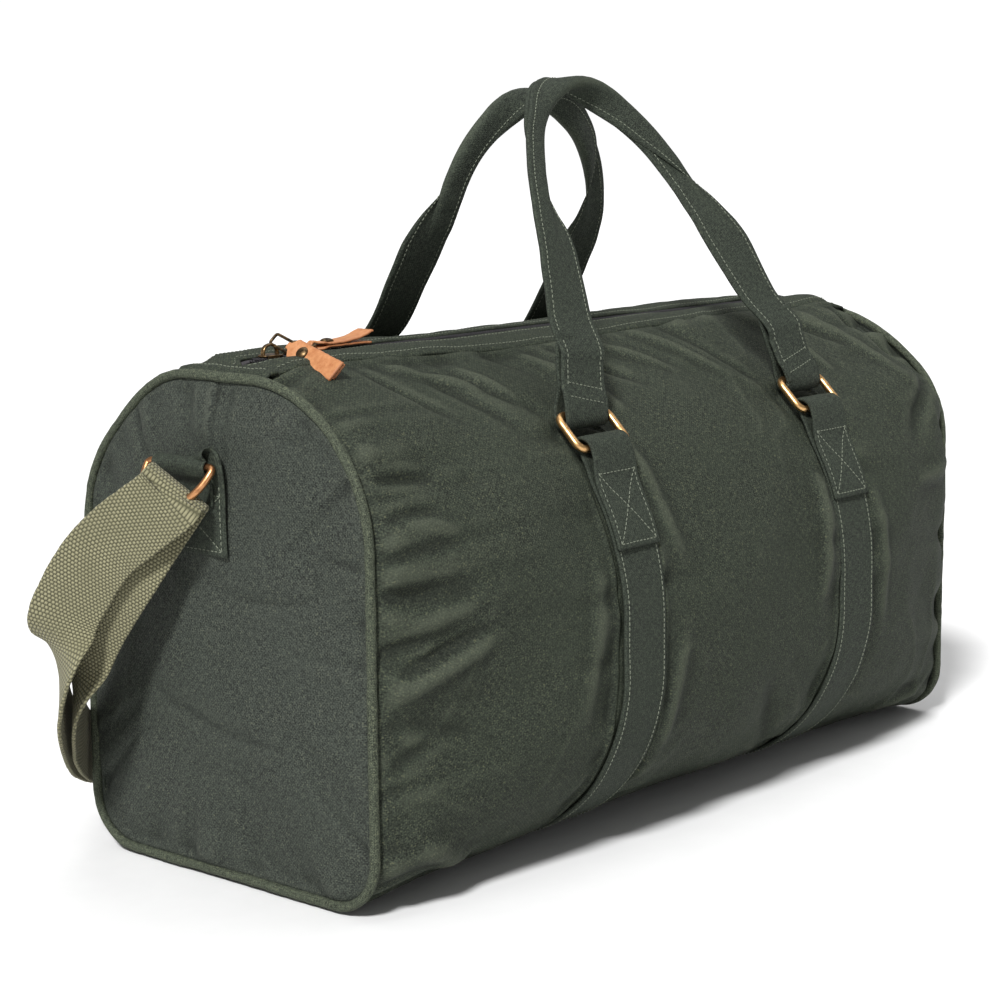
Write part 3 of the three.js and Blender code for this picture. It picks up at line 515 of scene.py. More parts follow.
def end_panel(name, side, material):
    """The flat end, slightly domed, gathered where it meets the piping."""
    columns = 640
    loop = end_outline(LENGTH / 2, PIPING_DEPTH + 1.4, columns)[:, 1:]
    centre = np.array([0.0, 140.0])
    t = 1 - (1 - np.linspace(0.01, 1, 84)) ** 1.25
    flat = centre + (loop - centre)[None] * t[:, None, None]
    y, z = flat[..., 0], flat[..., 1]
    inset = np.min(np.linalg.norm(loop[0] - centre)) * (1 - t)[:, None] + 0 * y
    seed = 51 if side < 0 else 61
    relief = 2.0 * turned_noise(y, z, 92, seed) + 1.1 * turned_noise(y, 0.7 * z, 38, seed + 2)
    relief += 0.7 * (crease(y, 0.5 * z, 30, seed + 4) - 0.4) + 0.12 * turned_noise(y, z, 10, seed + 6)
    around = np.arange(columns)[None] / columns * 880
    relief += np.exp(-inset / 22) * 3.2 * turned_noise(around, inset * 0.25, 17, seed + 8)
    relief -= 4.8 * np.exp(-inset / 40) * pucker(around, 0.10 * inset, 34, seed + 10)
    creased = smooth(turned_noise(y, z, 90, seed + 14), -0.3, 0.5)
    relief -= 2.2 * crease(0.35 * y, z - 0.25 * y, 40, seed + 12) * creased
    relief += 1.6 * np.exp(-((y + 30) / 70) ** 2 - ((z - 262) / 12) ** 2)
    relief -= 2.2 * np.exp(-((y - 62) / 16) ** 2 - ((z - 118) / 46) ** 2)
    by_tab = smooth(np.hypot((y - 8) / 32, (z - 215) / 34), 0.8, 1.25)
    relief = relief * smooth(inset, -1, 9) * by_tab - 3.4 * np.exp(-inset / 3.4)
    outer = settle(np.stack([side * (panel_face(y, z) + relief), y, z], -1))
    inner = outer - side * CANVAS_THICK * X_AXIS
    # Ridges and furrows of the relief go to the material, which paints ridges paler as wear and painted
    # highlight and furrows darker as painted shade.
    points, wear_and_shading = (np.concatenate([a, b[::-1]]) for a, b in ((outer, inner), [wear_and_shade_of(relief)] * 2))
    u, v = (np.concatenate([g, g[::-1]])[:, [*range(columns), 0]] for g in (y, z))
    piece = surface(name, points, u, v, material, wear_and_shade=wear_and_shading)
    finish_piece(piece, "bag", name)


def piping(name, side, material):
    """Cord wrapped in a bias strip of canvas, sewn round the end seam, a little puckered."""
    path = settle(end_outline(side * PIPING_X, PIPING_DEPTH, 900))
    along = lengths(np.vstack([path, path[:1]]))[:-1]
    sides = 18
    angle = np.linspace(0, 2 * np.pi, sides, endpoint=False)
    turn = along[:, None] / 4.6 + 1.2 * angle[None] / np.pi
    swell = 0.06 * noise(turn, 0 * turn, seed=71) + 0.07 * noise(along[:, None] / 22 + 0 * angle, seed=72)
    sway = 0.25 * noise(along / 34, seed=73)[:, None]
    path = path + unit(path - np.array([path[0][0], 0, HEIGHT / 2])) * sway
    piece = tube(name, path, 0.9 * PIPING * (1 + swell), material, True, sides, X_AXIS)
    finish_piece(piece, "bag", name)


def seam_binding(name, side, material):
    """Tape that binds the raw seam inside the bag."""
    rows = [settle(end_outline(side * x, PIPING_DEPTH + BINDING_DEPTH, 260)) for x in BINDING_X]
    outer = np.stack(rows, 1)
    inner = outer + unit(np.array([0, 0, HEIGHT / 2]) - outer) * BINDING_THICK
    along = lengths(np.vstack([outer[:, 0], outer[:1, 0]]))
    u = np.repeat(along[:, None], 9, 1)
    v = np.tile(np.arange(9) * 3.0, (len(along), 1))
    piece = surface(name, there_and_back(outer, inner), u, v, material, closed=True)
    finish_piece(piece, "bag", name)


# ------------------------------------------------------------------ zip
FACING_ENDS, FACING_SEAMS, FACING_SEAM_END, FACING_THICK = 281, (0.16, 0.82), 272, 1.8
TAPE_END, TAPE_EDGES, TAPE_DEPTH, TAPE_THICK = 275.6, (3.4, 20), 2.5, 0.9
COIL_PITCH, COIL_WIRE, COIL_DEPTH = 1.9, 0.42, 1.9
STOP_HALF, STOP_X = 36.5, (278.6, 279, 280.5, 282, 284, 286, WRAP_END)


def top_strip(name, low, high, depth, thickness, x, material, relief, columns):
    """A strip beside the zip line between two arc lengths."""
    across = np.linspace(0, 1, columns)[None]
    s = mix(low, high, across) + 0 * x[:, None]
    lift = relief(x[:, None], across) if relief else 0 * s
    outer, _ = skin(x[:, None], s, depth - lift)
    inner, _ = skin(x[:, None], s, depth + thickness - lift)
    u = np.repeat(x[:, None], columns, 1)
    piece = shell(name, settle(outer), settle(inner), u, s, material)
    finish_piece(piece, "bag", name)


def zip_facing(row, side, material):
    """Canvas strip folded back along the zip and sewn to the wrap."""
    x = stations(-FACING_ENDS, FACING_ENDS, 2.2)
    seam_edge = side * (MOUTH + 1.4)

    def edge(x):
        return side * mix(FACING_EDGE, 0.5, smooth(np.abs(x), 262, 271))

    def relief(x, across):
        ripple = 0.9 * noise(x / 13 + 40 * side, 0.5 * across, seed=81) * across * (1 - 0.3 * across)
        ripple = ripple + 0.7 * noise(x / 37, across, seed=82)
        pillow = 0.7 * np.sin(np.pi * np.clip(across * 1.1, 0, 1)) - 1.3 * smooth(across, 0.9, 1.0)
        sewn = -0.5 * np.exp(-((across - FACING_SEAMS[0]) / 0.05) ** 2)
        lip = -1.0 * smooth(0.06 - across, 0, 0.06)
        return (ripple + pillow) * (1 - smooth(np.abs(x), 266, 277)) + sewn + lip

    name = f"zip_facing_{row}"
    top_strip(name, edge(x[:, None]), seam_edge, 0, FACING_THICK, x, material, relief, 26)
    run = np.linspace(-FACING_SEAM_END, FACING_SEAM_END, 400)
    for place in FACING_SEAMS:
        lift = relief(run[:, None], np.array([[place]]))[:, 0]
        points, normals = skin(run, mix(edge(run), seam_edge, place), -lift - 0.1)
        sew(("thread_facings", "bag", "canvas"), settle(points), normals)


def zip_end(name, side, material):
    """Canvas stop sewn across each end of the zip."""
    s = np.linspace(-STOP_HALF, STOP_HALF, 44)[None]
    x = side * np.array(STOP_X)[:, None]
    lift = 1.2 + 0.5 * noise(s / 9, seed=91) - 2.6 * smooth(np.abs(x), 283, WRAP_END)
    outer, _ = skin(x, s, -lift)
    inner, _ = skin(x, s, FACING_THICK - lift)
    piece = shell(name, settle(outer), settle(inner), x + 0 * s, s + 0 * x, material)
    finish_piece(piece, "bag", name)
    run = np.linspace(-30, 30, 60)
    points, normals = skin(side * 280.8, run, -1.3 - 0.5 * noise(run / 9, seed=91))
    sew(("thread_facings", "bag", "canvas"), settle(points), normals)


def zip_tape(row, side, material):
    """Woven tape that carries the teeth, under the facing."""
    x = stations(-TAPE_END, TAPE_END, 6)
    low, high = (side * edge for edge in TAPE_EDGES)
    top_strip(f"zip_tape_{row}", low, high, TAPE_DEPTH, TAPE_THICK, x, material, None, 8)


def zip_coil(row, side, material):
    """Coil of nylon teeth: flat loops side by side along the tape's edge."""
    turns = int(2 * ZIP_STRAIGHT / COIL_PITCH)
    t = np.arange(turns * 8 + 1) / 8
    x = -ZIP_STRAIGHT + t * COIL_PITCH + (COIL_PITCH / 2 if side < 0 else 0)
    phase = 2 * np.pi * t
    s = side * (2.0 + 1.7 * np.cos(phase))
    depth = COIL_DEPTH + 0.95 * np.sin(phase)
    points, _ = skin(x, s, depth)
    path = settle(points)
    path[:, 1] = np.abs(s) * -side
    piece = tube(f"zip_coil_{row}", path, COIL_WIRE, material, False, 6)
    finish_piece(piece, "bag", f"zip_coil_{row}")


# ------------------------------------------------------------------ wrap-round straps and rings
# How far a seam lies inside an edge, where the doubled end folds, the gap past the fold before the
# long seams start, and half the width of the box of stitches.
SEAM_INSET, FOLD_AT, LONG_SEAM_GAP, BOX_HALF = 3.0, 52, 58, 16


def on_strap(side, s, lift):
    """Across-the-bag position of a point of a strap's line: y and z."""
    points, _ = skin(STRAP_X, side * s, -lift)
    return points[1:]


def ring_frame(side):
    """Centre of a carrying ring's section and the direction up its plane, as y and z."""
    centre = on_strap(side, RING_S, RING_LIFT)
    up = on_strap(side, RING_S - 0.5, RING_LIFT) - on_strap(side, RING_S + 0.5, RING_LIFT)
    return centre, up / np.linalg.norm(up)


def yz_path(points, x):
    points = np.asarray(points, float)
    return np.column_stack([np.full(len(points), float(x)), points])


def side_faces(path, toward):
    """Normals of a strip whose width lies along X, pointing the way toward says at the start."""
    tangent = unit(np.gradient(path, axis=0))
    face = np.cross(X_AXIS, tangent)
    return face if face[0] @ np.array(toward, float) > 0 else -face


def strap_relief(seed, width):
    """A strap's slight waves, with a furrow under each row of stitches."""
    def relief(along, across):
        near_edge = np.abs(across) / (width / 2)
        wave = 0.25 * turned_noise(along, 3 * across, 24, seed)
        seam = -0.28 * np.exp(-((np.abs(across) - (width / 2 - SEAM_INSET)) / 0.9) ** 2)
        return wave * (0.5 + near_edge) + seam
    return relief


def sew_edges(key, ribbon, start, stop, side):
    """A row of stitches inside each edge between two distances along a ribbon."""
    stops = np.arange(start, stop, 2.0)
    half = np.interp(stops, ribbon.along, ribbon.width) / 2
    for edge in (-1, 1):
        points, normals = ribbon.at(stops, edge * (half - SEAM_INSET), side)
        sew(key, points, normals)


def sew_line(key, ribbon, a, b, side):
    """A straight row of stitches between two (along, across) places of a ribbon."""
    count = max(4, int(math.dist(a, b) / 1.5))
    points, normals = ribbon.at(np.linspace(a[0], b[0], count), np.linspace(a[1], b[1], count), side)
    sew(key, points, normals)


def sew_box(key, ribbon, low, high, half, side):
    """The two short sides of a box of stitches, and its diagonals."""
    for a, b in (((low, -half), (low, half)), ((high, -half), (high, half)),
                 ((low, -half), (high, half)), ((low, half), (high, -half))):
        sew_line(key, ribbon, a, b, side)


def wrap_strap(name, x, material, seed):
    """Canvas strap right round the bag, its ends looped over the rings' lower bars and sewn down."""
    def end(side):
        centre, up = ring_frame(side)
        bar = centre - RING_REACH * up
        outward = side * np.array([-up[1], up[0]])
        doubled = [on_strap(side, s, lift) for s, lift in (
            (BOX_END, 1.7), (190, 1.7), (180, 1.7), (170, 1.7),
            (163, 2.0), (157, 3.2), (151, 5.8), (146, 8.6))]
        turn = [bar + LOOP_DROP * math.cos(a) * up + LOOP * math.sin(a) * outward
                for a in np.linspace(math.pi / 2, -math.pi / 2, 13)]
        under = [on_strap(side, s, lift) for s, lift in ((147, 1.4), (154, -0.2), (162, -0.8))]
        return doubled + turn + under

    girth = float(half_girth(STRAP_X))
    runs = np.arange(170, 2 * girth - 170, 6)
    main = [on_strap(1 if s < girth else -1, s if s < girth else 2 * girth - s, -0.8) for s in runs]
    path = even(catmull(yz_path(end(1) + main + end(-1)[::-1], x), 2.0), 2.0)
    face = side_faces(path, (0, -0.5, 0.5))
    along = lengths(path)
    from_ring = np.minimum(np.abs(along - LOOP_ALONG), np.abs(along[-1] - LOOP_ALONG - along))
    width = STRAP_WIDTH - 2.4 * np.exp(-(from_ring / 9) ** 2)
    strap = Ribbon(path, face, width, STRAP_THICK, strap_relief(seed, STRAP_WIDTH), 25)
    finish_piece(strap.build(name, material), "bag", name)
    key = ("thread_straps", "bag", "canvas")
    total = strap.along[-1]
    out = 1 if strap.at([5.0], [0.0])[1][0] @ np.array([0, -1, 0.6]) > 0 else -1
    sew_edges(key, strap, 2.5, FOLD_AT - 4, out)
    sew_edges(key, strap, total - FOLD_AT + 4, total - 2.5, out)
    sew_edges(key, strap, FOLD_AT + LONG_SEAM_GAP, total - FOLD_AT - LONG_SEAM_GAP, -out)
    sew_box(key, strap, 3, 45, BOX_HALF, out)
    sew_box(key, strap, total - 45, total - 3, BOX_HALF, out)


def rounded_loop(half, reach, corner):
    """Points round a rectangle with round corners, as (u, t)."""
    loop = []
    for su, st, start in ((1, 1, 0), (-1, 1, 90), (-1, -1, 180), (1, -1, 270)):
        for angle in np.radians(np.linspace(start, start + 90, 14)):
            loop.append((su * (half - corner) + corner * math.cos(angle),
                         st * (reach - corner) + corner * math.sin(angle)))
    return np.array(loop)


def dense_loop(loop, step):
    """A closed loop's points at even spacing."""
    return even(np.vstack([loop, loop[:1]]), step)[:-1]


def carry_ring(row, end, side, x, material):
    """Rectangular brass ring between a wrap-round strap and a handle."""
    centre, up = ring_frame(side)
    loop = dense_loop(rounded_loop(RING_HALF, RING_REACH, RING_CORNER + 0.6), 1.2)
    path = np.column_stack([x + loop[:, 0], centre[0] + loop[:, 1] * up[0], centre[1] + loop[:, 1] * up[1]])
    name = f"carry_ring_{row}_{end}"
    piece = tube(name, path, RING_ROD, material, True, 20, (0, up[1], -up[0]))
    finish_piece(piece, f"{row}_rings", name)


# ------------------------------------------------------------------ handles
# Half of each handle's line, from the top of the leg that holds its ring to the crown of the arch.
HANDLES = {
    "front": [(103, -104, 288), (95, -91, 310), (88, -80, 332), (81, -69, 354), (76, -59, 370),
              (66, -43, 394), (50, -27, 417), (27, -15, 436), (0, -10.5, 444)],
    "back": [(88, -84, 279), (79, -70, 295), (79, -53, 322), (78, -40, 346), (75, -31, 364),
             (66, -22, 390), (50, -16, 412), (27, -13.5, 429), (0, -12.5, 437)],
}
# How far a handle's turned end reaches past its first bend, the step of its points, and the sewn length.
TURNED_ENDS = {"front": (12, 8, 74), "back": (-1, 4, 61)}
HANDLE_LOOP, HANDLE_WIDTH, HANDLE_THICK, HANDLE_COLUMNS, HANDLE_BEND = 34, 38.0, 2.5, 35, 5.4


def fold_section(fold, thick):
    """Both faces of a strap folded lengthwise by a share of a full fold, as across and face offsets."""
    width, bend = HANDLE_WIDTH, HANDLE_BEND
    q = np.linspace(-width / 2, width / 2, HANDLE_COLUMNS)
    theta = math.pi * fold * smooth(q, -bend, bend)
    step = q[1] - q[0]
    a = -width / 2 + fold * width / 4 + np.concatenate([[0], np.cumsum(np.cos(theta[1:]) * step)])
    b = fold * 2 * bend / math.pi - np.concatenate([[0], np.cumsum(np.sin(theta[1:]) * step)])
    middle = b.mean()
    b = (b - middle) * (1 - 0.6 * fold * smooth(np.abs(q), bend + 1, 17)) + middle * (1 - fold)
    tangent = unit(np.stack([np.gradient(a), np.gradient(b)], 1))
    normal = np.stack([-tangent[:, 1], tangent[:, 0]], 1)
    rim = np.clip((np.abs(q) - (width / 2 - 1)) / 1.0, 0, 1)
    half = (thick / 2 * np.sqrt(1 - 0.98 * rim ** 2))[:, None]
    line = np.stack([a, b], 1)
    return line + normal * half, line - normal * half, q


def handle_line(row):
    """A handle's line from one turned end to the other, standing on the front rings."""
    half = np.array(HANDLES[row], float)
    centre, up = ring_frame(1)
    bar = centre + RING_REACH * up
    top = half[0]
    reach = math.hypot(top[1] - bar[0], top[2] - bar[1])
    u = (top[1:] - bar) / reach
    n = np.array([-u[1], u[0]])
    lean = (STRAP_X - top[0]) / reach
    place = lambda t, off: (STRAP_X - lean * max(0, t), *(bar + t * u + off * n))
    tail_end, tail_step, _ = TURNED_ENDS[row]
    line = [place(reach + tail_end - k * tail_step, -1.5) for k in range(3)]
    line += [place(16, -1.9), place(9, -3.4), place(4, -LOOP * 0.99)]
    line += [place(LOOP_DROP * math.cos(a), LOOP * math.sin(a))
             for a in np.linspace(-math.pi / 2, -1.5 * math.pi, 11)]
    line += [place(4, LOOP * 0.99), place(9, 3.4), place(16, 1.9)]
    line += [place(reach - 5, 1.5), place(reach + 4, 1.3)]
    line += [tuple(p) for p in half[1:]]
    near = [(-p[0], p[1], p[2]) for p in line]
    return even(catmull(near + line[-2::-1], 1.6), 1.7)


def handle(row, material):
    """Strap folded lengthwise into a grip, with flat legs looped through the rings."""
    path = handle_line(row)
    tangent = unit(np.gradient(path, axis=0))
    along = lengths(path)
    total = along[-1]
    fold = smooth(path[:, 2], 338, 424 if row == "front" else 414)
    from_crown = (along - total / 2) / 62
    turn_angle = math.pi * smooth(from_crown, -1, 1)
    arch_normal = unit(-Y_AXIS + tangent * (tangent @ Y_AXIS)[:, None])
    inner = np.cross(tangent, arch_normal)
    spine = inner * np.cos(turn_angle)[:, None] + arch_normal * np.sin(turn_angle)[:, None]
    width_axis = X_AXIS - tangent * tangent[:, :1]
    share = smooth(path[:, 2], 300, 345)[:, None]
    across = unit(unit(width_axis) * (1 - share) + spine * share)
    across = unit(across - tangent * np.sum(across * tangent, 1, keepdims=True))
    face = np.cross(across, tangent)
    rings, wear_and_shading = [], []
    for k in range(len(path)):
        thick = HANDLE_THICK + 0.5 * smooth(path[k, 2], 300, 330)
        sections = zip(fold_section(0, thick), fold_section(1, thick))
        outer, inner_side, q = (mix(flat, folded, fold[k]) for flat, folded in sections)
        ripple = 0.35 * turned_noise(along[k] + 0 * q, q * 1.2, 15, 97) * (0.4 + np.abs(q) / 19)
        ripple = ripple + 0.5 * turned_noise(along[k] + 0 * q, q * 0.4, 34, 99) * (1 - fold[k])
        crumple = 1.4 * fold[k] * (1 - fold[k]) * turned_noise(along[k] + 0 * q, q, 9, 101)
        section_points = np.concatenate([outer, inner_side[::-1]])
        lift = np.concatenate([ripple + crumple, (ripple + crumple)[::-1]])
        pinch = 1 - 0.065 * math.exp(-((min(along[k], total - along[k]) - HANDLE_LOOP) / 9) ** 2)
        rings.append(path[k] + across[k] * section_points[:, :1] * pinch
                     + face[k] * (section_points[:, 1:] + lift[:, None] * (1 - 0.6 * fold[k])))
        wear_and_shading.append(np.concatenate([np.exp(-(q / 2.4) ** 2) * fold[k]] * 2))
    rings = np.array(rings)
    place_uv = np.concatenate([q, 2 * q[-1] - q[::-1] + 2, [q[0] + 80]])
    uu, vv = np.meshgrid(along, place_uv, indexing="ij")
    if row == "back":
        rings = rings * np.array([-1, -1, 1])
    name = f"handle_{row}"
    piece = surface(name, rings, uu, vv, material, wear_and_shade=np.array(wear_and_shading))
    finish_piece(piece, f"{row}_handle", name)
    sew_handle(row, rings, along)


def sew_handle(row, rings, along):
    """Rows along both edges of both faces, and two rows across each sewn end."""
    key = (f"thread_handle_{row}", f"{row}_handle", "canvas_dark")
    inset, last = 4, 2 * HANDLE_COLUMNS - 1
    total, sewn = along[-1], TURNED_ENDS[row][2]
    opposite = rings[:, ::-1]
    picks = np.searchsorted(along, np.arange(sewn + 4, total - sewn - 4, 1.0))
    for column in (inset, last - inset, HANDLE_COLUMNS - 1 - inset, HANDLE_COLUMNS + inset):
        sew(key, rings[picks, column], unit(rings[picks, column] - opposite[picks, column]))
    for stop in (sewn - 3, sewn + 6, total - sewn + 3, total - sewn - 6):
        k = int(np.argmin(np.abs(along - stop)))
        top = slice(inset, HANDLE_COLUMNS - inset)
        under = slice(last - inset, last - HANDLE_COLUMNS + inset, -1)
        for columns in (top, under):
            sew(key, rings[k, columns], unit(rings[k, columns] - opposite[k, columns]))


# ------------------------------------------------------------------ end tabs and D-rings
def end_tab(name, side, material, seed):
    """Canvas tab sewn to the end panel and folded over the D-ring's bar."""
    bend = DRING_ROD + 0.7 + TAB_THICK / 2
    base = panel_face(TAB_Y, 205) - TAB_FACE + 1.9
    out = [(base - 0.6, TAB_BASE + 2), (base, TAB_BASE + 8), (base + 0.2, 212), (base + 0.4, 226),
           (1.8, 232), (2.2, 235.5)]
    out += [(TAB_OUT + bend * math.cos(a), TAB_BAR + bend * math.sin(a))
            for a in np.linspace(math.pi, -0.12, 13)]
    out += [(TAB_OUT + 2.4, 234.6), (5.4, 231.4), (base + 2.9, 228), (base + 2.5, 222), (base + 2.5, 217)]
    path = even(catmull([(0, o, z) for o, z in out], 1.2), 1.2)
    along = lengths(path)
    points = np.column_stack([side * (TAB_FACE + path[:, 1]), np.full(len(path), 8.0), path[:, 2]])
    tangent = unit(np.gradient(points, axis=0))
    rolled = smooth(along, 46, 56)
    width = TAB_WIDTH - 7.5 * rolled
    points[:, 1] += 3.7 * rolled
    tab = Ribbon(points, np.cross(Y_AXIS, tangent), width, TAB_THICK, strap_relief(seed, TAB_WIDTH), 27)
    finish_piece(tab.build(name, material), "bag", name)
    key = ("thread_tabs", "bag", "canvas_dark")
    outward = 1 if tab.at([10.0], [0.0])[1][0][0] * side > 0 else -1
    half, low, cross, high = 21.3, 3, 34, 40
    for a, b in (((low, -half), (low, half)), ((low, -half), (high, -half)), ((low, half), (high, half)),
                 ((low, -half), (cross, half)), ((low, half), (cross, -half)),
                 ((cross, -half), (cross, half))):
        sew_line(key, tab, a, b, outward)


def d_ring_point(side, y, reach):
    """A point of a D-ring's plane: y from the tab's middle, and reach down from the bar."""
    return np.array([side * (TAB_FACE + TAB_OUT + reach * math.sin(DRING_TILT)), TAB_Y + y,
                     TAB_BAR - reach * math.cos(DRING_TILT)])


def d_ring(end, side, material):
    """D-ring in an end tab: a straight bar and a bow."""
    bow = [d_ring_point(side, DRING_HALF * math.cos(a), DRING_DEPTH * math.sin(a))
           for a in np.linspace(0.06, math.pi - 0.06, 40)]
    bar = [d_ring_point(side, u, 0) for u in np.linspace(-DRING_HALF + 2, DRING_HALF - 2, 20)]
    path = dense_loop(catmull(bow + bar + bow[:1], 1.5)[:-1], 1.3)
    normal = (side * math.cos(DRING_TILT), 0, math.sin(DRING_TILT))
    piece = tube(f"d_ring_{end}", path, DRING_ROD, material, True, 20, normal)
    finish_piece(piece, f"{end}_d_ring", f"d_ring_{end}")


# ------------------------------------------------------------------ shoulder strap
# The strap's route at the near end, each row a place and the outward normal there.
STRAP_OUTER = [
    (-343, 36, 194, -0.86, -0.47, -0.17), (-350, 58, 163, -0.83, -0.50, -0.24),
    (-352, 65, 146, -0.86, -0.35, -0.30), (-350, 68, 132, -0.93, 0.30, -0.20),
    (-347, 72, 119, -0.82, 0.57, -0.06), (-342, 78, 105, -0.70, 0.71, 0),
    (-334, 87, 91, -0.64, 0.77, 0), (-307, 115, 69, -0.58, 0.81, 0), (-279, 141, 52, -0.55, 0.83, 0),
    (-240, 169, 36, -0.5, 0.86, 0), (-180, 197, 26, -0.25, 0.97, 0), (-135, 207, 24.5, -0.06, 1, 0),
]
STRAP_INNER = [
    (-330, 31, 184, -0.86, -0.47, -0.17), (-336, 58, 146, -0.84, -0.50, -0.22),
    (-336, 69, 127, -0.88, -0.20, -0.20),
    (-334, 76, 109, -0.82, 0.50, -0.05), (-328, 84, 95, -0.68, 0.73, 0), (-314, 100, 80, -0.62, 0.78, 0),
    (-300, 113, 66, -0.58, 0.81, 0), (-273, 136, 50, -0.55, 0.83, 0), (-237, 161, 36, -0.5, 0.86, 0),
    (-178, 187, 26, -0.25, 0.97, 0), (-138, 196, 24.5, -0.06, 1, 0),
]
STRAP_BACK = [(-60, 209, 24, 0, 1, 0), (0, 209, 24, 0, 1, 0), (60, 209, 24, 0, 1, 0)]
ADJUSTER_AT, ADJUSTER_HALF, ADJUSTER_REACH, ADJUSTER_ROD = (-111, 201, 24.5), 21.8, 13, 1.6
FOLD_SPACING, FOLD_RISE, FOLD_SEWN = 8, 8, 46
WEB_WIDTH, WEB_THICK = 40, 2.4


def ring_fold(side):
    """The strap doubled over a D-ring's bow, from its outer layer to its inner one."""
    mirror = np.array([-side, 1, 1])
    down = unit(np.array([-0.21, 0.59, -0.78]))
    face = np.array([-0.884, -0.444, -0.1])
    face = unit(face - down * (face @ down))
    centre = d_ring_point(-1, -2, DRING_DEPTH) - FOLD_RISE * down
    outward = [math.cos(a) * face - math.sin(a) * down for a in np.linspace(0, math.pi, 9)]
    rows = [(centre + FOLD_SPACING * out, out) for out in outward]
    rows.append((centre - FOLD_SPACING * 0.7 * face + FOLD_SEWN * down, -face))
    return [(at * mirror, out * mirror) for at, out in rows]


def route_stop(row, side=-1, flip=1):
    """A stop of the strap's route, mirrored to its end, and its normal, turned over where flip is -1."""
    mirror = np.array([-side, 1, 1])
    return np.array(row[:3], float) * mirror, unit(np.array(row[3:], float)) * mirror * flip


def adjuster_turn():
    """The webbing's end round the adjuster's middle bar."""
    radius = ADJUSTER_ROD + 0.6 + WEB_THICK / 2
    outward = [np.array([math.cos(a), math.sin(a), 0]) for a in np.linspace(-math.pi / 2, math.pi / 2, 7)]
    rows = [(np.array(ADJUSTER_AT) + radius * out, out) for out in outward]
    return rows + [(np.array(ADJUSTER_AT) + (-6, radius, 0), Y_AXIS)]


def strap_rows():
    """Places and normals along the strap, from its sewn end at the far ring to the adjuster."""
    far = ring_fold(1)[::-1] + [route_stop(row, 1) for row in STRAP_OUTER]
    near = [route_stop(row) for row in STRAP_OUTER[::-1]] + ring_fold(-1)[:-1]
    back = [route_stop(row) for row in STRAP_BACK[::-1]]
    return far + back + near + [route_stop(row, flip=-1) for row in STRAP_INNER] + adjuster_turn()


def shoulder_strap(material):
    """One length of webbing, from its sewn end at the far ring to the adjuster behind the bag."""
    rows = strap_rows()
    both = np.array([np.concatenate([at, face * 30]) for at, face in rows])
    curve = even(catmull(both, 2.2), 2.2)
    path, face = curve[:, :3], unit(curve[:, 3:])

    def relief(along, across):
        edge = (np.abs(across) / (WEB_WIDTH / 2)) ** 2
        return 0.3 * noise(along / 31, seed=111) * edge + 0.12 * noise(along / 4.4, across / 3, seed=112)

    strap = Ribbon(path, face, WEB_WIDTH, WEB_THICK, relief, 41)
    strap.width = WEB_WIDTH + 0.35 * noise(strap.along / 2.2, seed=113)
    strap.width = strap.width + 0.3 * noise(strap.along / 14, seed=114)
    piece = strap.build("shoulder_strap_webbing", material)
    finish_piece(piece, "bag", "shoulder_strap")


def strap_adjuster(material):
    """Three-bar slide that sets the strap's length."""
    x, y, z = ADJUSTER_AT
    loop = dense_loop(rounded_loop(ADJUSTER_REACH, ADJUSTER_HALF, 3.4), 1.0)
    path = np.column_stack([x + loop[:, 0], np.full(len(loop), y), z + loop[:, 1]])
    frame_rod = tube("strap_adjuster_frame", path, ADJUSTER_ROD, material, True, 14, Y_AXIS)
    bar = np.column_stack([np.full(24, x), np.full(24, y), z + np.linspace(-1, 1, 24) * ADJUSTER_HALF])
    middle = tube("strap_adjuster_bar", bar, ADJUSTER_ROD * 0.9, material, False, 14)
    finish_piece(frame_rod, "bag", "strap_adjuster")
    finish_piece(middle, "bag")


# ------------------------------------------------------------------ sliders and pulls
BRIDGE_FOOT = SLIDER_HIGH + SLIDER_PLATE
# Each pull's heading, slope and roll in radians, its place above the bridge's foot, and its link's back end.
PULLS = {
    "near": (math.radians(-98), 0.25, math.radians(50), (5, -1.0, 7.4), -4),
    "far": (0.0, 0.0, 0.0, (0, 0, 2.2), -1.5),
}
PULL_WIDTH, PULL_LENGTH, LEATHER, LINK_ROD, LINK_BAR, RIVET_AT = 13, 44, 1.5, 0.9, 13, 12


def bevelled(piece, width):
    """Rounds a small metal part's edges and shades it smooth."""
    bevel = piece.modifiers.new("bevel", "BEVEL")
    bevel.width = width * MM
    bevel.segments = 3
    bevel.limit_method = "ANGLE"
    weighted = piece.modifiers.new("normals", "WEIGHTED_NORMAL")
    weighted.keep_sharp = True
    return piece


def plate(name, loop, low, high, material):
    """A flat plate with the outline loop between two heights."""
    ahead = np.roll(loop, -1, 0)
    if np.sum(loop[:, 0] * ahead[:, 1] - ahead[:, 0] * loop[:, 1]) < 0:
        loop = loop[::-1]
    count = len(loop)
    points = np.vstack([np.column_stack([loop, np.full(count, height)]) for height in (low, high)])
    faces = [list(range(count))[::-1], list(range(count, 2 * count))]
    faces += [[k, (k + 1) % count, count + (k + 1) % count, count + k] for k in range(count)]
    return make_mesh(name, points, faces, np.zeros((sum(map(len, faces)), 2)), material)


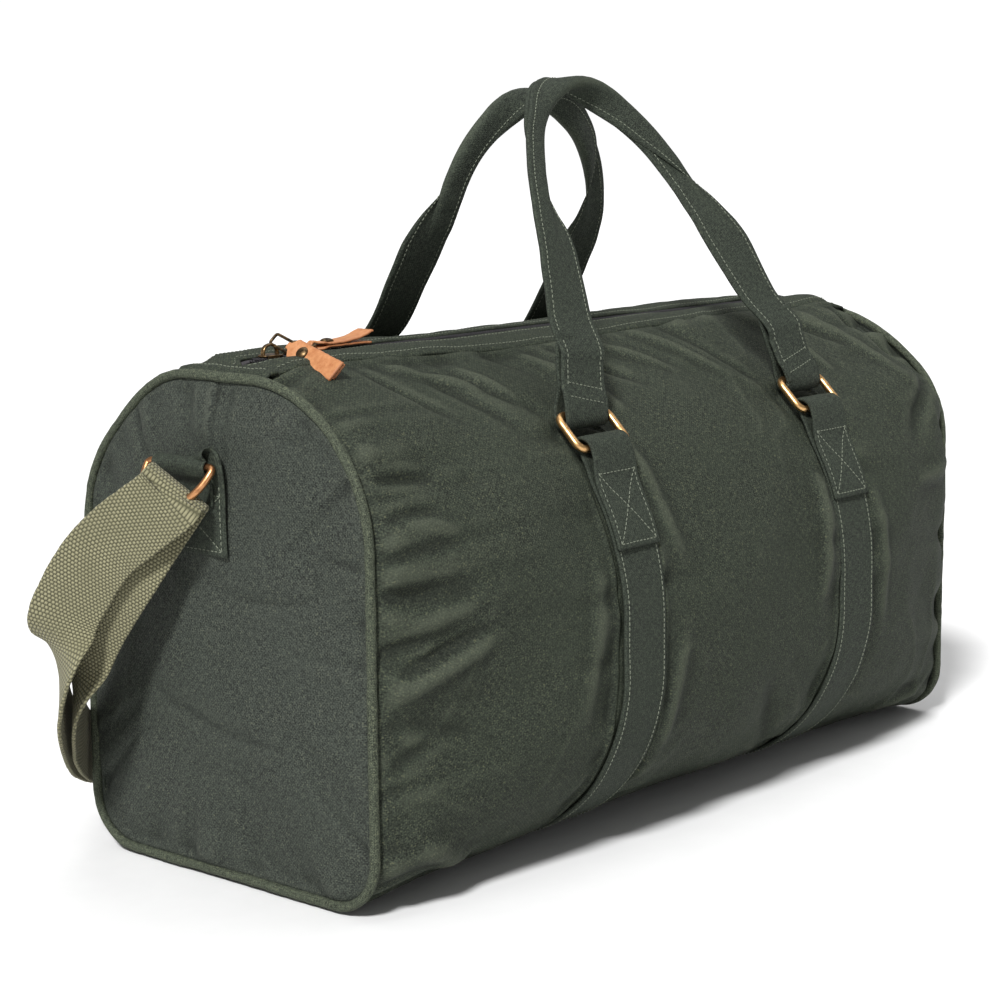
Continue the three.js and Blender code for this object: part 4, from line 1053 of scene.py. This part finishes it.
def slider(end, material):
    """Die-cast zip slider: shield-shaped plates, side flanges, nose post and arched bridge."""
    x, low, high = SLIDERS[end], SLIDER_LOW, SLIDER_HIGH
    name = f"zip_slider_{end}"
    t = np.linspace(0, 2 * np.pi, 40, endpoint=False)
    taper = 1 + 0.16 * np.cos(t)
    loop = np.column_stack([x + 7 * np.sign(np.cos(t)) * np.abs(np.cos(t)) ** 0.7,
                            5.5 * taper * np.sign(np.sin(t)) * np.abs(np.sin(t)) ** 0.6])
    parts = [bevelled(plate(f"{name}_top", loop, high, high + SLIDER_PLATE, material), 0.45),
             bevelled(plate(f"{name}_base", loop, low - SLIDER_PLATE, low, material), 0.45)]
    post = np.column_stack([x + 4 + 1.6 * np.cos(t), 0.3 * np.sin(t)])
    parts.append(plate(f"{name}_post", post, low - 0.2, high + 0.2, material))
    for letter, side in (("l", -1), ("r", 1)):
        flange = [(x - 6, side * 5.0), (x + 2, side * 5.9), (x + 2, side * 5.1), (x - 6, side * 4.3)]
        piece = plate(f"{name}_flange_{letter}", np.array(flange), high - 1.2, high + 0.2, material)
        parts.append(bevelled(piece, 0.2))
    top = high + SLIDER_PLATE
    arch = [(x - 5.4, 0, top - 0.5), (x - 5.2, 0, top + 2.4), (x - 3.6, 0, top + 4.6), (x, 0, top + 5.5),
            (x + 3.6, 0, top + 4.6), (x + 5.2, 0, top + 2.4), (x + 5.4, 0, top - 0.5)]
    path = even(catmull(arch, 0.6), 0.6)
    face = np.cross(unit(np.gradient(path, axis=0)), Y_AXIS)
    parts.append(Ribbon(path, face, 3.0, 1.5, None, 9).build(f"{name}_bridge", material))
    finish_piece(parts[0], f"{end}_slider", name)
    for piece in parts[1:]:
        finish_piece(piece, f"{end}_slider")


def pull_frame(end):
    """Rotation and origin that put a pull's own axes in the bag's frame."""
    (ch, cs, cr), (sh, ss, sr) = ([f(a) for a in PULLS[end][:3]] for f in (math.cos, math.sin))
    turn = np.array([[ch, -sh, 0], [sh, ch, 0], [0, 0, 1]])
    tilt = np.array([[cs, 0, ss], [0, 1, 0], [-ss, 0, cs]])
    roll = np.array([[1, 0, 0], [0, cr, -sr], [0, sr, cr]])
    return turn @ tilt @ roll, np.array([SLIDERS[end], 0, BRIDGE_FOOT]) + np.array(PULLS[end][3])


def placed(points, end):
    """Points in a pull's own axes, put in the bag's frame."""
    matrix, origin = pull_frame(end)
    return points @ matrix.T + origin


def pull_link(end, material):
    """Wire link from the slider's bridge to the leather."""
    back = PULLS[end][4]
    middle, half_length = (LINK_BAR + back) / 2, (LINK_BAR - back) / 2
    loop = dense_loop(rounded_loop(half_length, 3.4, 1.6), 0.7)
    path = np.column_stack([middle + loop[:, 0], loop[:, 1], 0 * loop[:, 0]])
    matrix, _ = pull_frame(end)
    name = f"pull_link_{end}"
    piece = tube(name, placed(path, end), LINK_ROD, material, True, 12, matrix @ np.array([0, 0, 1.0]))
    finish_piece(piece, "near_slider" if end == "near" else "far_pull", name)


def leather_pull(end, material):
    """Two layers of one leather strip folded over the link and riveted, a little splayed."""
    bend = LINK_ROD + 0.4 + LEATHER / 2
    layer = LEATHER / 2 + 0.12
    tip = LINK_BAR + PULL_LENGTH
    splay, rise = (0.9, 0.0) if end == "near" else (2.6, 2.0)
    lower = [(tip - 1.5, -layer - splay * 0.25 + rise * 0.3), (LINK_BAR + 30, -layer - 0.1),
             (LINK_BAR + 18, -layer), (LINK_BAR + 9, -layer), (LINK_BAR + 4, -bend * 0.85)]
    turn = [(LINK_BAR + bend * math.cos(a), bend * math.sin(a))
            for a in np.linspace(1.5 * math.pi, 0.5 * math.pi, 9)]
    upper = [(LINK_BAR + 4, bend * 0.85), (LINK_BAR + 9, layer), (LINK_BAR + 18, layer),
             (LINK_BAR + 30, layer + 0.35 * splay), (tip, layer + splay + rise)]
    flat = even(catmull([(u, 0, w) for u, w in lower + turn + upper], 0.9), 0.9)
    tangent = unit(np.gradient(flat, axis=0))
    face = np.cross(tangent, Y_AXIS)
    near_nose = smooth(flat[:, 0], LINK_BAR + 0.5, LINK_BAR + 4.5)
    width = mix(4.4, PULL_WIDTH, near_nose)
    matrix, _ = pull_frame(end)

    def relief(along, across):
        return 0.18 * turned_noise(along, across, 7, 121) + 0.1 * turned_noise(along, across, 2.3, 123)

    strip = Ribbon(placed(flat, end), face @ matrix.T, width, LEATHER, relief, 17)
    strip.width = width + 0.25 * noise(strip.along / 2.0, seed=127)

    def edge_wear(along, across):
        by_side = smooth(np.abs(across), PULL_WIDTH / 2 - 1.3, PULL_WIDTH / 2)
        by_end = smooth(-np.minimum(along, strip.along[-1] - along), -1.4, 0)
        return np.clip(by_side + by_end, 0, 1)

    name = f"leather_pull_{end}"
    finish_piece(strip.build(name, material, edge_wear), f"{end}_pull", name)


def pull_rivet(end, material):
    """Domed cap, shank and under-cap."""
    face = LEATHER + 0.12
    profile = np.array([(0.05, -face - 0.9), (1.8, -face - 0.85), (2.8, -face - 0.5), (3.0, -face - 0.05),
                        (1.5, -face), (1.5, face), (3.8, face + 0.02), (3.95, face + 0.25), (3.7, face + 0.7),
                        (3.0, face + 1.2), (2.0, face + 1.6), (1.0, face + 1.8), (0.05, face + 1.85)])
    angle = np.linspace(0, 2 * np.pi, 36, endpoint=False)
    points = np.stack([LINK_BAR + RIVET_AT + profile[:, :1] * np.cos(angle), profile[:, :1] * np.sin(angle),
                       profile[:, 1:] + 0 * angle], -1)
    u, v = np.meshgrid(np.arange(len(profile)), np.arange(37) * 0.6, indexing="ij")
    name = f"pull_rivet_{end}"
    piece = surface(name, placed(points, end), u, v, material)
    finish_piece(piece, f"{end}_pull", name)


# ------------------------------------------------------------------ materials, with lengths in metres
KNOB_ROW, KNOB_COLUMN = 0.0020, 0.0023


def colour(values, share=1):
    """A linear colour from a share of screen values of 0 to 255."""
    return (*[((share * c / 255 + 0.055) / 1.055) ** 2.4 for c in values], 1.0)


class Paint:
    """A procedural material while its nodes are joined up."""

    def __init__(self, name, roughness, metallic=0.0, specular=0.4, sheen=0.0):
        self.material = bpy.data.materials.new(name)
        self.material.use_nodes = True
        self.tree = self.material.node_tree
        self.shader = self.tree.nodes["Principled BSDF"]
        self.set("Roughness", roughness)
        self.set("Metallic", metallic)
        self.set("Specular IOR Level", specular)
        if sheen:
            self.set("Sheen Weight", sheen)
            self.set("Sheen Roughness", 0.4)
        self.normal = None

    def set(self, socket, value):
        target = self.shader.inputs[socket]
        if isinstance(value, bpy.types.NodeSocket):
            self.tree.links.new(value, target)
        else:
            target.default_value = value

    def add(self, kind, *values, **settings):
        node = self.tree.nodes.new("ShaderNode" + kind)
        for key, value in settings.items():
            setattr(node, key, value)
        for socket, value in zip(node.inputs, values):
            if isinstance(value, bpy.types.NodeSocket):
                self.tree.links.new(value, socket)
            elif value is not None:
                socket.default_value = value
        return node

    def math(self, operation, a, b=None):
        return self.add("Math", a, b, operation=operation).outputs[0]

    def plus(self, a, b):
        return self.math("ADD", a, b)

    def times(self, a, b):
        return self.math("MULTIPLY", a, b)

    def uv(self):
        """UV in metres: the vector, and its two parts."""
        coords = self.add("UVMap", uv_map="UVMap").outputs[0]
        parts = self.add("SeparateXYZ", coords)
        return coords, parts.outputs[0], parts.outputs[1]

    def place(self):
        return self.add("TexCoord").outputs["Object"]

    def noise(self, vector, scale, detail=3.0, rough=0.55, stretch=None):
        if stretch:
            vector = self.add("Mapping", vector, None, None, stretch).outputs[0]
        return self.add("TexNoise", vector, None, scale, detail, rough).outputs[0]

    def ramp(self, value, low, high, to_low=0.0, to_high=1.0):
        return self.add("MapRange", value, low, high, to_low, to_high).outputs[0]

    def blend(self, factor, a, b):
        node = self.add("Mix", data_type="RGBA", blend_type="MIX")
        for index, value in ((0, factor), (6, a), (7, b)):
            if isinstance(value, bpy.types.NodeSocket):
                self.tree.links.new(value, node.inputs[index])
            else:
                node.inputs[index].default_value = value
        return node.outputs[2]

    def wear_and_shade(self):
        # Per-point wear, which on the canvas also carries painted highlight on ridges and painted shade in
        # furrows.
        return self.add("Attribute", attribute_name="wear_and_shade").outputs["Fac"]

    def bump(self, height, distance, strength):
        """Adds a layer of relief, on top of any that is there."""
        node = self.add("Bump")
        node.inputs["Strength"].default_value = strength
        node.inputs["Distance"].default_value = distance
        self.tree.links.new(height, node.inputs["Height"])
        if self.normal:
            self.tree.links.new(self.normal, node.inputs["Normal"])
        self.normal = node.outputs[0]

    def done(self, tint):
        self.set("Base Color", tint)
        if self.normal:
            self.set("Normal", self.normal)
        return self.material


def wave(paint, value, pitch):
    return paint.math("SINE", paint.times(value, 2 * math.pi / pitch))


def waxed_canvas(name, tint, speck, wear_and_shading, pitch=0.0021, contrast=1.0):
    """Plain-weave cotton duck: uneven threads, paler slubs, ridges painted paler as wax rubbed off and
    painted highlight, and furrows painted darker as painted shade.
    """
    paint = Paint(name, roughness=0.8, specular=0.18)
    coords, u, v = paint.uv()
    place = paint.place()
    weave = paint.times(wave(paint, u, pitch), wave(paint, v, pitch))
    warp = paint.noise(coords, 100.0, 2.0, 0.6, (15.0, 2.8, 1.0))
    weft = paint.noise(coords, 100.0, 2.0, 0.6, (2.8, 15.0, 1.0))
    threads = paint.plus(warp, weft)
    speckle = paint.noise(place, 1000.0, 2.0, 0.7)
    grain = paint.plus(paint.plus(threads, speckle), paint.times(weave, 0.10))
    patches = paint.noise(place, 11.0, 3.0, 0.6)
    blotches = paint.noise(place, 42.0, 3.0, 0.6)
    shade = paint.plus(paint.times(patches, 0.5), paint.times(blotches, 0.5))
    dark, pale = (colour(tint, 1 + change * contrast) for change in (-0.40, 0.40))
    base = paint.blend(paint.ramp(grain, 1.28, 1.72), dark, pale)
    base = paint.blend(paint.ramp(grain, 1.66, 1.92, 0.0, 0.75), base, colour(speck))
    base = paint.blend(paint.ramp(shade, 0.38, 0.66, 0.0, 0.4), base, colour(tint, 1.22))
    # Paler ridges: partly wax rubbed off, partly painted highlight.
    base = paint.blend(paint.ramp(paint.wear_and_shade(), 0.05, 1.0, 0.0, 0.36), base, colour(wear_and_shading))
    # Darker furrows: painted shade in the creases.
    base = paint.blend(paint.ramp(paint.wear_and_shade(), -0.05, -0.9, 0.0, 0.5), base, colour(tint, 0.6))
    paint.bump(paint.noise(place, 160.0, 3.0, 0.6), 0.0009, 0.5)
    paint.bump(paint.plus(paint.times(weave, 0.35), threads), 0.0003, 0.9)
    paint.set("Roughness", paint.ramp(shade, 0.3, 0.7, 0.70, 0.88))
    return paint.done(base)


def webbing_cotton(name):
    """Heavy cotton webbing: staggered knobs of thick yarn."""
    paint = Paint(name, roughness=0.9, specular=0.2, sheen=0.1)
    coords, u, v = paint.uv()
    place = paint.place()
    row = paint.math("DIVIDE", u, KNOB_ROW)
    shift = paint.times(paint.math("MODULO", paint.math("FLOOR", row), 2.0), 0.5)
    column = paint.plus(paint.math("DIVIDE", v, KNOB_COLUMN), shift)
    half_turns = [paint.math("ABSOLUTE", wave(paint, t, 2.0)) for t in (row, column)]
    knobs = paint.math("POWER", paint.times(*half_turns), 0.6)
    fray = paint.noise(coords, 1400.0, 3.0, 0.7)
    height = paint.plus(knobs, paint.times(fray, 0.5))
    # Darker between the knobs and paler on their tops: painted shade and painted highlight on the weave.
    base = paint.blend(paint.ramp(height, 0.45, 1.15), colour((82, 81, 61)), colour((152, 148, 118)))
    faded = paint.ramp(paint.noise(place, 60.0), 0.35, 0.7, 0.0, 0.35)
    base = paint.blend(faded, base, colour((108, 106, 82)))
    paint.bump(height, 0.0009, 0.9)
    return paint.done(base)


def vegetable_leather(name):
    """Tan leather: grain, pores, and darker handled edges."""
    paint = Paint(name, roughness=0.5, specular=0.45)
    place = paint.place()
    pores = paint.add("TexVoronoi", place, None, 900.0).outputs[0]
    grain = paint.noise(place, 260.0, 4.0, 0.65)
    base = paint.blend(paint.ramp(grain, 0.32, 0.7), colour((168, 108, 66)), colour((196, 138, 92)))
    stained = paint.ramp(paint.noise(place, 70.0), 0.45, 0.75, 0.0, 0.4)
    base = paint.blend(stained, base, colour((160, 96, 58)))
    base = paint.blend(paint.ramp(paint.wear_and_shade(), 0.0, 1.0, 0.0, 0.7), base, colour((150, 92, 56)))
    paint.bump(pores, 0.0001, 0.7)
    paint.bump(grain, 0.0003, 0.6)
    paint.set("Roughness", paint.ramp(grain, 0.3, 0.7, 0.42, 0.62))
    return paint.done(base)


def aged_metal(name, bright, dull, share, roughness):
    """Cast metal with patina in patches and small pits."""
    paint = Paint(name, roughness=roughness, metallic=1.0, specular=0.5)
    place = paint.place()
    patina = paint.noise(place, 190.0, 5.0, 0.65)
    base = paint.blend(paint.ramp(patina, 0.5 - share, 0.75 - share), colour(bright), colour(dull))
    paint.set("Roughness", paint.ramp(patina, 0.3, 0.7, roughness - 0.06, roughness + 0.16))
    paint.bump(paint.noise(place, 700.0, 3.0, 0.6), 0.00012, 0.6)
    return paint.done(base)


def zip_cloth(name, tint):
    """Ribbed tape and nylon teeth."""
    paint = Paint(name, roughness=0.85, specular=0.25)
    coords, u, _ = paint.uv()
    rib = wave(paint, u, 0.0014)
    fleck = paint.noise(coords, 1500.0, 2.0, 0.6)
    base = paint.blend(paint.ramp(fleck, 0.35, 0.7), colour(tint, 0.75), colour(tint, 1.3))
    paint.bump(paint.plus(rib, fleck), 0.0002, 0.6)
    return paint.done(base)


def sewing_thread(name):
    paint = Paint(name, roughness=0.8, specular=0.25)
    twist = paint.noise(paint.place(), 2600.0, 2.0, 0.6)
    base = paint.blend(paint.ramp(twist, 0.35, 0.7), colour((92, 97, 84)), colour((132, 138, 122)))
    paint.bump(twist, 0.0001, 0.5)
    return paint.done(base)


def floor_paper(name):
    paint = Paint(name, roughness=0.9, specular=0.1)
    fibre = paint.noise(paint.place(), 40.0, 4.0, 0.6)
    return paint.done(paint.blend(fibre, (0.79, 0.79, 0.79, 1), (0.83, 0.83, 0.83, 1)))


# ------------------------------------------------------------------ camera, floor and light
# The camera looks at TARGET from DISTANCE away, through a lens of LENS mm.
AZIMUTH, ELEVATION, ROLL = math.radians(-49.21), math.radians(9.47), math.radians(-0.48)
TARGET, DISTANCE, LENS = (-18.51, 30.22, 179.33), 1553.4, 86.61
# The surround's brightness: from and to these heights, from and to these strengths.
SKY_FALL = (0.05, 0.13, 1.05, 0.28)
FLOOR_HALF, FLOOR_Z = 8000, -1.0
# Each sun: the way to it, its strength, and its spread in degrees.
SUNS = {"key": ((-0.80, -0.32, 0.84), 4.0, 10), "overhead": ((0.35, 0.10, 1.0), 1.2, 60)}


def set_camera():
    back = Vector((math.sin(AZIMUTH) * math.cos(ELEVATION), -math.cos(AZIMUTH) * math.cos(ELEVATION),
                   math.sin(ELEVATION)))
    level = Vector((math.cos(AZIMUTH), math.sin(AZIMUTH), 0))
    upright = back.cross(level)
    right = level * math.cos(ROLL) + upright * math.sin(ROLL)
    up = back.cross(right)
    data = bpy.data.cameras.new("camera")
    data.lens = LENS
    data.sensor_width = 36
    data.clip_end = 50
    camera = bpy.data.objects.new("camera", data)
    place = (Vector(TARGET) + back * DISTANCE) * MM
    axes = Matrix((right, up, back)).transposed().to_4x4()
    camera.matrix_world = Matrix.Translation(place) @ axes
    bpy.context.scene.collection.objects.link(camera)
    bpy.context.scene.camera = camera


def set_floor():
    """A plain pale floor, just under the bag."""
    square = ((-1, -1), (1, -1), (1, 1), (-1, 1))
    corners = np.array([(x * FLOOR_HALF, y * FLOOR_HALF, FLOOR_Z) for x, y in square])
    floor = make_mesh("floor", corners, [[0, 1, 2, 3]], np.zeros((4, 2)), floor_paper("floor_paper"))


def broad_sun(name, toward, strength, spread):
    """Even soft light from far away. toward points from the bag to the lamp."""
    data = bpy.data.lights.new(name, "SUN")
    data.energy = strength
    data.angle = math.radians(spread)
    lamp = bpy.data.objects.new(name, data)
    lamp.location = Vector(toward)
    lamp.rotation_euler = Vector(toward).to_track_quat("Z", "Y").to_euler()
    bpy.context.scene.collection.objects.link(lamp)


def set_light():
    """A white surround near the horizon, dimmer above, and two soft suns."""
    world = bpy.data.worlds.new("studio")
    world.use_nodes = True
    nodes, links = world.node_tree.nodes, world.node_tree.links
    background = nodes["Background"]
    background.inputs["Color"].default_value = (1.0, 1.0, 1.0, 1)
    split = nodes.new("ShaderNodeSeparateXYZ")
    fall = nodes.new("ShaderNodeMapRange")
    links.new(nodes.new("ShaderNodeTexCoord").outputs["Generated"], split.inputs[0])
    links.new(split.outputs["Z"], fall.inputs["Value"])
    for index, value in enumerate(SKY_FALL, 1):
        fall.inputs[index].default_value = value
    links.new(fall.outputs[0], background.inputs["Strength"])
    bpy.context.scene.world = world
    for name, (toward, strength, spread) in SUNS.items():
        broad_sun(name, toward, strength, spread)
    bpy.context.scene.view_settings.view_transform = "Standard"


# ------------------------------------------------------------------ assembly
def build_bag():
    # Each canvas: tint, speck colour, and the paler ridge colour, partly rubbed wax and partly painted
    # highlight; furrows get a darker tint as painted shade.
    wrap = waxed_canvas("canvas", (43, 48, 40), (98, 98, 72), (84, 89, 75))
    panel = waxed_canvas("canvas_panels", (49, 53, 48), (92, 94, 74), (82, 86, 76))
    dark = waxed_canvas("canvas_dark", (45, 50, 43), (82, 86, 68), (80, 86, 72), 0.0018, 0.9)
    bias = waxed_canvas("canvas_piping", (60, 65, 54), (108, 108, 82), (96, 100, 82), 0.0016)
    brass = aged_metal("brass", (222, 178, 122), (140, 98, 60), 0.0, 0.30)
    copper = aged_metal("copper_brass", (206, 150, 104), (120, 78, 50), 0.05, 0.34)
    antique = aged_metal("antique_brass", (138, 112, 78), (46, 38, 30), 0.12, 0.36)
    tape, coil = zip_cloth("zip_tape_cloth", (58, 56, 58)), zip_cloth("zip_coil_nylon", (44, 43, 45))
    webbing, leather = webbing_cotton("webbing"), vegetable_leather("leather")
    body_wrap(wrap)
    for end, side in (("near", -1), ("far", 1)):
        end_panel(f"end_panel_{end}", side, panel)
        piping(f"piping_{end}", side, bias)
        seam_binding(f"seam_binding_{end}", side, dark)
        zip_end(f"zip_end_{end}", side, wrap)
        wrap_strap(f"wrap_strap_{end}", side * STRAP_X, dark, 131 + side)
        end_tab(f"end_tab_{end}", side, dark, 141 + side)
        d_ring(end, side, copper)
        for row, face in (("front", 1), ("back", -1)):
            carry_ring(row, end, face, side * STRAP_X, brass)
    for row, face in (("front", 1), ("back", -1)):
        zip_facing(row, face, wrap)
        zip_tape(row, face, tape)
        zip_coil(row, face, coil)
        handle(row, dark)
    for end in SLIDERS:
        slider(end, antique)
        pull_link(end, antique)
        leather_pull(end, leather)
        pull_rivet(end, antique)
    shoulder_strap(webbing)
    strap_adjuster(antique)
    make_threads(sewing_thread("thread"))


build_bag()
set_camera()
set_floor()
set_light()
